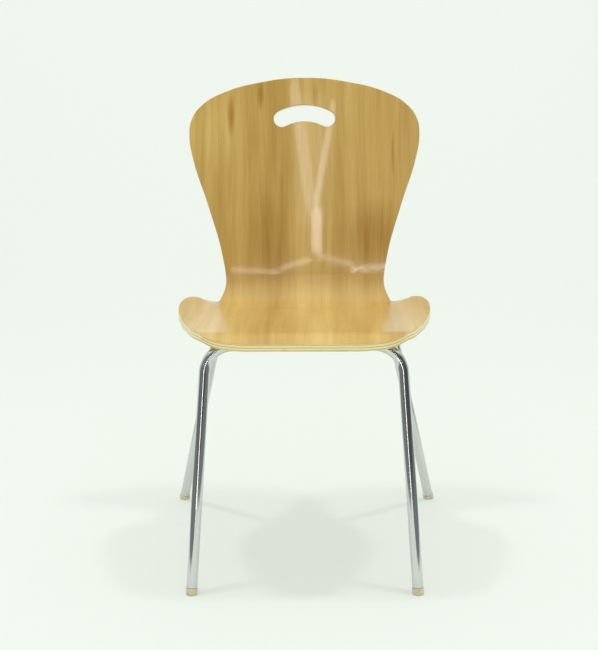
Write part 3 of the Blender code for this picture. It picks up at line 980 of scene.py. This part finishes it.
@dataclass
class PressedShell:
    """The one-piece seat and back with its hand-hold."""

    form: PressForm
    fixings: Sequence[tuple[float, float]]
    seat_half: float = 0.226
    waist_half: float = 0.1505
    back_half: float = 0.2167
    ease: float = 0.0015
    eased_tilt: float = 0.3
    hold_width: float = 0.031
    hold_margin: float = 0.0675
    hold_radius: float = 0.092
    hold_half_angle: float = math.radians(28.0)
    nut_bore: float = 0.0047
    nut_bore_top: float = 0.002
    drill_reach: float = 0.02
    cell: float = 0.008
    bend_cell: float = 0.003

    @property
    def worn_to(self) -> float:
        """Return the station up to which sitting has rubbed the lacquer."""
        return self.form.back_start

    def outline(self) -> list[tuple[float, float]]:
        """Draw the right-hand half of the blank's outline.

        Each stretch gives its points as shares of its own width and length.

        Returns:
            The (x, station) points from the front's middle to the top's middle.
        """
        seat = ((0.300, 0.000), (0.480, 0.004), (0.665, 0.044), (0.800, 0.150), (0.885, 0.300),
                (0.962, 0.470), (1.000, 0.640), (0.978, 0.775), (0.905, 0.893), (0.785, 0.974))
        bend = ((1.095, 0.060), (1.060, 0.270), (1.000, 0.780))
        flare = ((0.104, 0.102), (0.480, 0.343), (0.905, 0.582), (1.000, 0.690), (0.935, 0.778))
        crown = ((0.888, 0.8535), (0.709, 0.918), (0.427, 0.970))
        form, spread = self.form, self.back_half - self.waist_half
        points = [(0.0, 0.0)]
        points += [(self.seat_half * w, form.bend_start * f) for w, f in seat]
        points += [(self.waist_half * w, form.bend_start + form.bend_length * f) for w, f in bend]
        points += [(self.waist_half + spread * w, form.back_start + form.back_length * f) for w, f in flare]
        points += [(self.back_half * w, form.back_start + form.back_length * f) for w, f in crown]
        return points + [(0.0, form.length)]

    def hold(self) -> list[tuple[float, float]]:
        """Draw the hand-hold's outline: two arcs and two round ends.

        Returns:
            Its (x, station) points, once round.
        """
        half, radius, wide = self.hold_width / 2, self.hold_radius, self.hold_half_angle
        centre = self.form.length - self.hold_margin - radius
        arc, end = 32, 18
        points = []
        for side in (1, -1):
            sweep = [side * wide * (2 * step / arc - 1) for step in range(arc + 1)]
            reach = radius + side * half
            points += [(reach * math.sin(a), centre + reach * math.cos(a)) for a in sweep]
            hub = (side * radius * math.sin(wide), centre + radius * math.cos(wide))
            start = math.pi / 2 - wide if side > 0 else 1.5 * math.pi + wide
            angles = [start - math.pi * step / end for step in range(1, end)]
            points += [(hub[0] + half * math.cos(a), hub[1] + half * math.sin(a)) for a in angles]
        return points

    def blank(self) -> bpy.types.Mesh:
        """Cut out the flat blank, ease its edges and drill the nuts' bores from below.

        Returns:
            The flat mesh, with x across, the station as y and t as z.
        """
        curve = bpy.data.curves.new("blank", 'CURVE')
        curve.dimensions = '2D'
        curve.fill_mode = 'BOTH'
        curve.extrude = self.form.thickness / 2 - self.ease
        curve.bevel_depth = self.ease
        curve.bevel_resolution = 3
        curve.offset = -self.ease
        curve.resolution_u = 14
        right = self.outline()
        rim = curve.splines.new('BEZIER')
        knots = right + [(-x, s) for x, s in reversed(right[1:-1])]
        rim.bezier_points.add(len(knots) - 1)
        rim.use_cyclic_u = True
        for knot, (x, s) in zip(rim.bezier_points, knots):
            knot.co = (x, s, 0.0)
            knot.handle_left_type = knot.handle_right_type = 'AUTO'
        hold = self.hold()
        slot = curve.splines.new('POLY')
        slot.points.add(len(hold) - 1)
        slot.use_cyclic_u = True
        for knot, (x, s) in zip(slot.points, hold):
            knot.co = (x, s, 0.0, 1.0)
        helper = link_new("blank", curve)
        mesh = evaluated(helper)
        bpy.data.objects.remove(helper, do_unlink=True)
        bm = bmesh.new()
        bm.from_mesh(mesh)
        bmesh.ops.remove_doubles(bm, verts=bm.verts[:], dist=1e-6)
        bmesh.ops.dissolve_limit(bm, angle_limit=math.radians(0.5), verts=bm.verts[:],
                                 edges=bm.edges[:], use_dissolve_boundaries=False)
        bore, low, top = self.nut_bore, -self.drill_reach, self.nut_bore_top
        drills = []
        for x, station in self.fixings:
            drill = mesh_of(turned(((0.0, low), (bore, low), (bore, top), (0.0, top)), 32), "drill")
            drill.transform(Matrix.Translation((x, station, 0.0)))
            drills.append(drill)
        return cut_out(mesh_of(bm, "blank"), drills)

    def cells(self) -> list[tuple[Vector, Vector]]:
        """List the planes that divide the blank into cells.

        Returns:
            A point and the normal of each plane.
        """
        form = self.form
        runs = ((0.0, form.lip_end, self.bend_cell), (form.lip_end, form.bend_start, self.cell),
                (form.bend_start, form.back_start, self.bend_cell),
                (form.back_start, form.length, self.cell))
        planes = []
        for start, end, size in runs:
            count = round((end - start) / size)
            planes += [(Vector((0, start + (end - start) * (i + 1) / count, 0)), Vector((0, 1, 0)))
                       for i in range(count)]
        count = round(self.seat_half / self.cell)
        planes += [(Vector((self.seat_half * i / count, 0, 0)), Vector((1, 0, 0)))
                   for i in range(-count + 1, count)]
        return planes

    def build(self) -> bpy.types.Object:
        """Cut the blank into cells, keep its flat coordinates, press it and show it.

        Returns:
            The shell.
        """
        form = self.form
        bm = bmesh.new()
        bm.from_mesh(self.blank())
        bm.normal_update()
        flat = bm.verts.layers.float_vector.new("blank")
        rest = bm.verts.layers.float_vector.new("rest")
        for vert in bm.verts:
            level = abs(vert.co.z) > form.thickness / 2 - 1e-5
            vert[rest] = Vector((0, 0, math.copysign(1.0, vert.co.z))) if level else vert.normal.copy()
        for face in bm.faces:
            tilt = face.normal.z
            kind = Ply.FACE if tilt > self.eased_tilt else Ply.BACK if tilt < -self.eased_tilt else Ply.EDGE
            face.material_index = kind.value
        for place, normal in self.cells():
            bmesh.ops.bisect_plane(bm, geom=bm.verts[:] + bm.edges[:] + bm.faces[:], plane_co=place,
                                   plane_no=normal, dist=1e-5)
        for face in bm.faces:
            if face.material_index == Ply.FACE.value and face.calc_center_median().y < self.worn_to:
                face.material_index = Ply.SEAT.value
        normals = []
        for vert in bm.verts:
            place = vert.co.copy()
            vert[flat] = place
            normals.append(form.normal(place, vert[rest]))
            vert.co = form.point(*place)
        mesh = mesh_of(bm, "seat_shell", tidy=False)
        mesh.attributes.remove(mesh.attributes["rest"])
        mesh.normals_split_custom_set_from_vertices(normals)
        finishes = (FACE_VENEER, BACK_VENEER, PLY_EDGE, SEAT_VENEER)
        return show(mesh, "pressed_shell", finishes, ("seat_shell",))


# --- tube frame ------------------------------------------------------------------------

@dataclass
class LegFrame:
    """One upside-down U of chromed tube, open at both feet."""

    form: PressForm
    row: Row
    foot: tuple[float, float]
    knee_x: float
    station: float
    radius: float = 0.0095
    wall: float = 0.0015
    knee_radius: float = 0.050
    under_shell: float = 0.003
    glide_height: float = 0.012
    mouth_ease: float = 0.0004
    bridge_step: float = 0.04
    knee_steps: int = 22
    sides: int = 48

    @property
    def drop(self) -> float:
        """Return how far the tube's axis lies below the ply's middle."""
        return self.form.thickness / 2 + self.under_shell + self.radius

    @property
    def run(self) -> Vector:
        """Return the centre of the tube's run under the seat."""
        return self.form.point(0.0, self.station, -self.drop)

    @property
    def floor_point(self) -> Vector:
        """Return where the right-hand leg's axis meets the floor."""
        return Vector((self.foot[0], self.foot[1] + self.form.shift, 0.0))

    @property
    def knee(self) -> Vector:
        """Return the corner of the right-hand leg's route."""
        return Vector((self.knee_x, self.run.y, self.run.z))

    def route(self) -> list[Vector]:
        """Lay out the tube's route.

        Returns:
            The axis's points from the left end to the right end.
        """
        floor, knee = self.floor_point, self.knee
        up = (knee - floor).normalized()
        end = floor + up * self.glide_height
        arm_in, arm_out = -up, Vector((-1.0, 0.0, 0.0))
        half = arm_in.angle(arm_out) / 2
        centre = knee + (arm_in + arm_out).normalized() * (self.knee_radius / math.sin(half))
        first = knee + arm_in * (self.knee_radius / math.tan(half)) - centre
        last = knee + arm_out * (self.knee_radius / math.tan(half)) - centre
        axis, sweep = first.cross(last), first.angle(last)
        arc = [centre + Matrix.Rotation(sweep * step / self.knee_steps, 3, axis) @ first
               for step in range(self.knee_steps + 1)]
        shank = [end, end + up * self.mouth_ease]
        shank += [end.lerp(arc[0], share) for share in (0.25, 0.5, 0.75)]
        right = shank + arc
        left = [Vector((-p.x, p.y, p.z)) for p in right]
        bridge = [Vector((self.bridge_step * step, self.run.y, self.run.z)) for step in (-2, -1, 0, 1, 2)]
        return left + bridge + right[::-1]

    def build(self) -> bpy.types.Object:
        """Sweep the outer skin and the bore, join them at the feet and show the tube.

        Returns:
            The tube.
        """
        route = self.route()
        bore = self.radius - self.wall
        outer = [self.radius] * len(route)
        outer[0] = outer[-1] = self.radius - self.mouth_ease
        bm = swept(route + route[::-1], outer + [bore] * len(route), self.sides, True)
        mesh = mesh_of(bm, f"{self.row.value}_tube")
        mesh.set_sharp_from_angle(angle=math.radians(40.0))
        name = f"{self.row.value}_leg_frame"
        return show(mesh, f"{self.row.value}_tube", (CHROME,), (name,))


@dataclass
class Glide:
    """A moulded foot: a round-bottomed head worn flat, and a stem in the tube."""

    leg: LegFrame
    side: Side
    overhang: float = 0.0009
    below: float = 0.0022
    rounding: float = 0.0050
    stem: float = 0.022

    def build(self) -> bpy.types.Object:
        """Turn the glide, set it on the leg's axis, wear it flat and show it.

        Returns:
            The glide.
        """
        leg = self.leg
        height = leg.glide_height
        radius = leg.radius + self.overhang
        stem = leg.radius - leg.wall - TOUCH
        top, tip = height - TOUCH, height + self.stem
        corners = ((0.0, -self.below, 0.0), (radius, -self.below, self.rounding), (radius, top, 0.0006),
                   (stem, top, 0.0), (stem, tip, 0.0015), (0.0, tip, 0.0))
        bm = turned(rounded(corners, 7))
        mirror = Vector((self.side.value, 1.0, 1.0))
        axis = (leg.knee - leg.floor_point) * mirror
        turn = axis.to_track_quat('Z', 'Y').to_matrix().to_4x4()
        place = Matrix.Translation(leg.floor_point * mirror) @ turn
        bmesh.ops.transform(bm, matrix=place, verts=bm.verts[:])
        cut = bmesh.ops.bisect_plane(bm, geom=bm.verts[:] + bm.edges[:] + bm.faces[:], dist=1e-6,
                                     plane_co=(0, 0, 0), plane_no=(0, 0, -1), clear_outer=True)
        rim = [item for item in cut["geom_cut"] if isinstance(item, bmesh.types.BMEdge)]
        bmesh.ops.edgeloop_fill(bm, edges=rim)
        mesh = mesh_of(bm, "glide")
        mesh.set_sharp_from_angle(angle=math.radians(32.0))
        name = f"{leg.row.value}_glide_{self.side.tag}"
        return show(mesh, f"{name}_moulding", (AMBER,), (name,))


# --- under the seat ---------------------------------------------------------------------

@dataclass
class SeatRail:
    """A rectangular tube that is coped and welded between the two leg frames."""

    front: LegFrame
    rear: LegFrame
    side: Side
    x: float = 0.072
    width: float = 0.025
    height: float = 0.012
    wall: float = 0.0015
    corner: float = 0.0024
    screw_bore: float = 0.0033
    fixing_from_tube: float = 0.044
    cope_width: float = 0.05
    bead: float = 0.0014
    bead_steps: int = 120
    ripple: float = 0.14
    ripple_steps: float = 5.0
    bead_squareness: float = 0.36

    @property
    def length(self) -> float:
        """Return the distance between the two tubes' axes."""
        return (self.rear.run - self.front.run).length

    @property
    def frame(self) -> Matrix:
        """Lay the rail's own axes: Y runs along it from the front tube's axis.

        Returns:
            The matrix from the rail's axes to the model's frame.
        """
        along = self.rear.run - self.front.run
        start = self.front.run + Vector((self.side.value * self.x, 0.0, 0.0))
        return Matrix.Translation(start) @ Matrix.Rotation(math.atan2(along.z, along.y), 4, 'X')

    def section(self, length: float, inset: float, corner: float) -> bpy.types.Mesh:
        """Make a bar of rounded rectangular section.

        Args:
            length: The bar's length.
            inset: How far it lies inside the rail's skin.
            corner: The rounding of its long edges.

        Returns:
            The bar, along Y from the origin.
        """
        bm = bmesh.new()
        size = (self.width - 2 * inset, length, self.height - 2 * inset)
        bmesh.ops.create_cube(bm, size=1.0, matrix=Matrix.Translation((0, self.length / 2, 0))
                              @ Matrix.Diagonal((*size, 1.0)))
        long_edges = [edge for edge in bm.edges
                      if abs(edge.verts[0].co.y - edge.verts[1].co.y) > length / 2]
        bmesh.ops.bevel(bm, geom=long_edges, offset=corner, segments=5, affect='EDGES',
                        profile=0.5, material=-1)
        return mesh_of(bm, "bar")

    def build(self) -> bpy.types.Object:
        """Cope and drill the rail and show it.

        Returns:
            The rail.
        """
        cutters = [self.section(self.length * 2, self.wall, self.corner - self.wall / 2)]
        cope = self.front.radius + TOUCH
        for y in (0.0, self.length):
            bm = bmesh.new()
            across = Matrix.Translation((0, y, 0)) @ Matrix.Rotation(math.pi / 2, 4, 'Y')
            bmesh.ops.create_cone(bm, cap_ends=True, segments=64, radius1=cope, radius2=cope,
                                  depth=self.cope_width, matrix=across)
            cutters.append(mesh_of(bm, "cope"))
        for y in (self.fixing_from_tube, self.length - self.fixing_from_tube, self.length / 2):
            bore, low = self.screw_bore, -self.height
            top = self.height if y != self.length / 2 else 0.0
            drill = ((0.0, low), (bore, low), (bore, top), (0.0, top))
            mesh = mesh_of(turned(drill, 32), "drill")
            mesh.transform(Matrix.Translation((0, y, 0)))
            cutters.append(mesh)
        mesh = cut_out(self.section(self.length, 0.0, self.corner), cutters)
        mesh.transform(self.frame)
        mesh.shade_smooth()
        mesh.set_sharp_from_angle(angle=math.radians(40.0))
        name = f"seat_rail_{self.side.tag}"
        return show(mesh, f"{name}_tube", (ZINC,), (name,))

    def weld(self, row: Row) -> bpy.types.Object:
        """Lay a rippled bead round one coped end.

        Args:
            row: Which end of the rail.

        Returns:
            The bead.
        """
        turn = 1.0 if row is Row.FRONT else -1.0
        start = 0.0 if row is Row.FRONT else self.length
        half_x, half_z, tube = self.width / 2, self.height / 2, self.front.radius
        route, radii, power = [], [], self.bead_squareness
        for step in range(self.bead_steps):
            angle = math.tau * step / self.bead_steps
            x = half_x * math.copysign(abs(math.cos(angle)) ** power, math.cos(angle))
            z = half_z * math.copysign(abs(math.sin(angle)) ** power, math.sin(angle))
            reach = math.sqrt(max(tube ** 2 - z * z, 0.0))
            route.append(Vector((x, start + turn * (reach + TOUCH), z)))
            radii.append(self.bead * (1.0 + self.ripple * math.sin(step * math.tau / self.ripple_steps)))
        bm = swept(route, radii, 10, True)
        bmesh.ops.transform(bm, matrix=self.frame, verts=bm.verts[:])
        return show(mesh_of(bm, "bead"), f"weld_{row.value}_{self.side.tag}", (WELD,), ())


@dataclass
class Fixing:
    """A screw from below, its washer and the spacer between rail and shell."""

    form: PressForm
    rail: SeatRail
    row: Row
    station: float
    screw: float = 0.003
    head: float = 0.006
    head_height: float = 0.0036
    socket_flat: float = 0.0020
    socket_length: float = 0.0044
    washer: float = 0.0075
    washer_thickness: float = 0.0012
    spacer: float = 0.011
    nut_cover: float = 0.0025
    nut_flange: float = 0.0014

    @property
    def tag(self) -> str:
        """Return the end of the CAD nodes' names."""
        return f"{self.row.value}_{self.rail.side.tag}"

    @property
    def rail_levels(self) -> tuple[float, float]:
        """Return the rail's underside and top along the screw's axis."""
        drop, half = self.rail.front.drop, self.rail.height / 2
        return -drop - half, -drop + half

    def place(self, bm: bmesh.types.BMesh, name: str) -> bpy.types.Mesh:
        """Set a turned piece on the screw's axis.

        Args:
            bm: The turned piece, which is freed.
            name: Its mesh's name.

        Returns:
            The mesh, in the model's frame.
        """
        mesh = mesh_of(bm, name)
        mesh.set_sharp_from_angle(angle=math.radians(38.0))
        mesh.transform(self.form.fixing(self.rail.side.value * self.rail.x, self.station))
        return mesh

    def ring(self, radius: float, low: float, high: float, ease: float) -> bmesh.types.BMesh:
        """Turn a ring round the screw.

        Args:
            radius: Its outer radius.
            low: Its lower face, along the screw.
            high: Its upper face.
            ease: The rounding of its outer corners.

        Returns:
            The ring.
        """
        bore = self.screw + TOUCH
        corners = ((bore, low, 0.0), (radius, low, ease), (radius, high, ease), (bore, high, 0.0))
        return turned(rounded(corners))

    def screw_mesh(self) -> bpy.types.Mesh:
        """Turn the screw and cut its hexagon socket.

        Returns:
            The screw, in the model's frame.
        """
        under = self.rail_levels[0] - self.washer_thickness - 2 * TOUCH
        tip = self.form.thickness / 2 - self.nut_cover - self.nut_flange
        base = under - self.head_height
        corners = ((0.0, tip, 0.0), (self.screw, tip, 0.0004), (self.screw, under, 0.0),
                   (self.head, under, 0.0003), (self.head, base, 0.0022), (0.0, base, 0.0))
        flat = self.socket_flat
        bm = bmesh.new()
        bmesh.ops.create_cone(bm, cap_ends=True, segments=6, radius1=flat, radius2=flat,
                              depth=self.socket_length, matrix=Matrix.Translation((0, 0, base)))
        body = mesh_of(turned(rounded(corners, 6)), "screw")
        body = cut_out(body, [mesh_of(bm, "socket")])
        bm = bmesh.new()
        bm.from_mesh(body)
        return self.place(bm, "screw")

    def build(self) -> list[bpy.types.Object]:
        """Make the three pieces and show them.

        Returns:
            The screw, the washer and the spacer.
        """
        low, high = self.rail_levels
        washer = self.ring(self.washer, low - TOUCH - self.washer_thickness, low - TOUCH, 0.0003)
        spacer = self.ring(self.spacer, high + TOUCH, -self.form.thickness / 2 - TOUCH, 0.0008)
        return [
            show(self.screw_mesh(), f"screw_{self.tag}", (ZINC,),
                 (f"seat_screw_{self.tag}",)),
            show(self.place(washer, "washer"), f"washer_{self.tag}_ring", (ZINC,),
                 (f"washer_{self.tag}",)),
            show(self.place(spacer, "spacer"), f"spacer_{self.tag}", (BLACK,),
                 (f"seat_spacer_{self.tag}",)),
        ]


@dataclass
class StackingBuffer:
    """The rubber button that is plugged into a rail from below."""

    form: PressForm
    rail: SeatRail
    station: float
    radius: float = 0.010
    tip: float = 0.008
    height: float = 0.007
    stem: float = 0.003
    stem_length: float = 0.007
    dish: float = 0.0008

    def build(self) -> bpy.types.Object:
        """Turn the button with a dished tip and show it.

        Returns:
            The button.
        """
        top = -self.rail.front.drop - self.rail.height / 2 - TOUCH
        low, end = top - self.height, top + self.stem_length
        corners = ((0.0, low + self.dish, 0.0), (self.tip * 0.55, low, 0.0015), (self.tip, low, 0.0012),
                   (self.radius, top - self.height * 0.5, 0.0012), (self.radius, top, 0.0005),
                   (self.stem, top, 0.0), (self.stem, end, 0.0008), (0.0, end, 0.0))
        mesh = mesh_of(turned(rounded(corners, 5)), "buffer")
        mesh.set_sharp_from_angle(angle=math.radians(50.0))
        mesh.transform(self.form.fixing(self.rail.side.value * self.rail.x, self.station))
        name = f"stacking_buffer_{self.rail.side.tag}"
        return show(mesh, f"{name}_button", (RUBBER,), (name,))


# --- studio ----------------------------------------------------------------------------

@dataclass
class Softbox:
    """A rectangular lamp with a plain face, turned by lean (degrees) about its aim.

    One that isn't mirrored doesn't show in polished pieces, and one that lights
    nothing shows in them only.
    """

    name: str
    place: tuple[float, float, float]
    aim: tuple[float, float, float]
    size: tuple[float, float]
    power: float
    lean: float = 0.0
    mirrored: bool = True
    lights: bool = True

    def build(self) -> bpy.types.Object:
        """Hang the lamp and turn it to its aim.

        Returns:
            The lamp.
        """
        lamp = bpy.data.lights.new(self.name, 'AREA')
        lamp.shape = 'RECTANGLE'
        lamp.size, lamp.size_y = self.size
        lamp.energy = self.power
        obj = link_new(self.name, lamp)
        obj.location = self.place
        obj.visible_glossy = self.mirrored
        obj.visible_diffuse = self.lights
        turn = (Vector(self.aim) - Vector(self.place)).to_track_quat('-Z', 'Y').to_matrix()
        obj.rotation_euler = (turn @ Matrix.Rotation(math.radians(self.lean), 3, 'Z')).to_euler()
        return obj


@dataclass
class Studio:
    """Floor, wall, lamps, room tone and camera."""

    form: PressForm
    lamps: Sequence[Softbox]
    room: Colour = (0.80, 0.83, 0.81)
    room_strength: float = 0.84
    sky_gain: float = 1.65
    dim_left: Colour = (0.21, 0.22, 0.225)
    dim_right: Colour = (0.10, 0.105, 0.11)
    wall_y: float = 3.2
    cove: float = 1.6
    half_width: float = 7.0
    front_y: float = -7.0
    height: float = 5.0
    cove_start: float = -1.5
    cove_steps: int = 24
    dim_ahead: tuple[float, float] = (0.35, -0.25)
    dim_below: tuple[float, float] = (0.66, 0.48)
    dim_across: tuple[float, float] = (-0.1, 0.4)
    eye: tuple[float, float, float] = (0.0222, -2.1721, 1.0096)
    yaw: float = -0.0134
    pitch: float = 0.2397
    roll: float = -0.0066
    focal: float = 1359.43 / 598.0 * 36.0

    def backdrop(self) -> bpy.types.Object:
        """Make the floor that sweeps up into the wall.

        Returns:
            The backdrop.
        """
        bm = bmesh.new()
        side = -self.half_width
        points = [Vector((side, self.front_y, 0.0)), Vector((side, self.cove_start, 0.0))]
        for step in range(self.cove_steps + 1):
            angle = math.pi / 2 * step / self.cove_steps
            points.append(Vector((side, self.wall_y - self.cove + self.cove * math.sin(angle),
                                  self.cove * (1 - math.cos(angle)))))
        points.append(Vector((side, self.wall_y, self.height)))
        verts = [bm.verts.new(point) for point in points]
        edges = [bm.edges.new(pair) for pair in zip(verts, verts[1:])]
        swept_out = bmesh.ops.extrude_edge_only(bm, edges=edges)
        moved = [item for item in swept_out["geom"] if isinstance(item, bmesh.types.BMVert)]
        bmesh.ops.translate(bm, vec=(2 * self.half_width, 0, 0), verts=moved)
        bmesh.ops.recalc_face_normals(bm, faces=bm.faces[:])
        mesh = mesh_of(bm, "backdrop", tidy=False)
        mesh.materials.append(PAINT.build())
        floor = link_new("studio_backdrop", mesh)
        return floor

    def world(self) -> None:
        """Fill the room with light, a little more from above.

        In polished pieces, the low part of the room ahead of the chair is dim.
        """
        world = bpy.data.worlds.new("room")
        world.use_nodes = True
        bench = Bench(world.node_tree)
        back = world.node_tree.nodes["Background"]
        parts = bench.add("SeparateXYZ", {0: bench.add("TexCoord").outputs["Generated"]}).outputs
        ahead = bench.span(parts[1], *self.dim_ahead)
        low = bench.span(parts[2], *self.dim_below)
        mirrored = bench.add("LightPath").outputs["Is Glossy Ray"]
        share = bench.maths('MULTIPLY', bench.maths('MULTIPLY', ahead, low), mirrored)
        dim = bench.mix(bench.span(parts[0], *self.dim_across), self.dim_left, self.dim_right)
        bench.tree.links.new(bench.mix(share, self.room, dim), back.inputs["Color"])
        sky = bench.span(parts[2], 0.0, 1.0, self.room_strength, self.room_strength * self.sky_gain)
        bench.tree.links.new(sky, back.inputs["Strength"])
        bpy.context.scene.world = world

    def camera(self) -> bpy.types.Object:
        """Set up the camera that looks slightly down on the chair from the front.

        Returns:
            The camera.
        """
        camera = bpy.data.cameras.new("camera")
        camera.sensor_fit = 'HORIZONTAL'
        camera.sensor_width = 36.0
        camera.lens = self.focal
        camera.clip_start, camera.clip_end = 0.05, 60.0
        ahead = Vector((math.sin(self.yaw) * math.cos(self.pitch),
                        math.cos(self.yaw) * math.cos(self.pitch), -math.sin(self.pitch)))
        level = Vector((math.cos(self.yaw), -math.sin(self.yaw), 0.0))
        upright = level.cross(ahead)
        right = math.cos(self.roll) * level + math.sin(self.roll) * upright
        up = -math.sin(self.roll) * level + math.cos(self.roll) * upright
        turn = Matrix((right, up, -ahead)).transposed().to_4x4()
        obj = link_new("camera", camera)
        obj.matrix_world = Matrix.Translation(Vector(self.eye) + Vector((0, self.form.shift, 0))) @ turn
        bpy.context.scene.camera = obj
        return obj

    def build(self) -> None:
        """Build the whole studio."""
        self.backdrop()
        self.world()
        for lamp in self.lamps:
            lamp.build()
        self.camera()
        bpy.context.scene.view_settings.view_transform = 'Standard'


PANEL_Y = -3.94
CHAIR_BACK = (0.0, 0.0, 0.60)
LAMPS = (
    Softbox("high_left", (-1.15, 0.0, 4.5), (0.0, 0.0, 0.4), (0.34, 0.34), 40.0, mirrored=False),
    Softbox("high_right", (1.15, 0.0, 4.5), (0.0, 0.0, 0.4), (0.34, 0.34), 40.0, mirrored=False),
    Softbox("broad_panel", (-0.20, PANEL_Y - 0.2, 2.00), CHAIR_BACK, (0.80, 1.00), 2.0),
    Softbox("wide_bar", (0.02, PANEL_Y, 2.06), CHAIR_BACK, (0.26, 1.04), 1.9, lean=-26.0),
    Softbox("narrow_bar", (-0.53, PANEL_Y, 1.97), CHAIR_BACK, (0.13, 0.92), 1.5, lean=33.0),
    Softbox("bright_patch", (-0.32, PANEL_Y, 1.41), CHAIR_BACK, (0.26, 0.32), 1.5),
    Softbox("sill_middle", (-0.78, PANEL_Y, 1.190), CHAIR_BACK, (0.88, 0.024), 0.45, lean=6.3),
    Softbox("sill_right", (-1.65, PANEL_Y, 1.126), CHAIR_BACK, (0.92, 0.010), 0.7, lean=2.4),
    Softbox("sill_left", (0.18, PANEL_Y, 1.165), CHAIR_BACK, (0.75, 0.014), 0.40, lean=-5.5),
    Softbox("sill_far_left", (1.15, PANEL_Y, 1.108), CHAIR_BACK, (1.20, 0.014), 0.70, lean=-1.9),
    Softbox("door_light", (-0.50, -4.0, 0.35), (0.0, 0.0, 0.30), (0.20, 0.70), 2.8, lights=False),
)


def plate_nuts() -> None:
    """Give the CAD's own T-nuts, which stay as they are, their zinc plate."""
    for name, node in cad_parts.items():
        if name.startswith("t_nut"):
            node.data.materials.clear()
            node.data.materials.append(ZINC.build())
            LOG.info("%s: %d faces, kept from the CAD", name, len(node.data.polygons))


def main() -> None:
    """Build the chair and its studio."""
    logging.basicConfig(level=logging.INFO, format="%(name)s: %(message)s")
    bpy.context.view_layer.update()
    form = PressForm()
    front = LegFrame(form, Row.FRONT, FRONT_FOOT, FRONT_KNEE_X, form.lip_end + FRONT_RUN_BEHIND)
    rear = LegFrame(form, Row.REAR, REAR_FOOT, REAR_KNEE_X, form.bend_start - REAR_RUN_AHEAD)
    rails = [SeatRail(front, rear, side) for side in Side]
    stations = {Row.FRONT: front.station + rails[0].fixing_from_tube,
                Row.REAR: rear.station - rails[0].fixing_from_tube}
    spots = [(rail.side.value * rail.x, station) for rail in rails for station in stations.values()]
    PressedShell(form, spots).build()
    for leg in (front, rear):
        leg.build()
        for side in Side:
            Glide(leg, side).build()
    for rail in rails:
        rail.build()
        for row, station in stations.items():
            rail.weld(row)
            Fixing(form, rail, row, station).build()
        StackingBuffer(form, rail, (front.station + rear.station) / 2).build()
    plate_nuts()
    Studio(form, LAMPS).build()


if __name__ == "__main__":
    main()
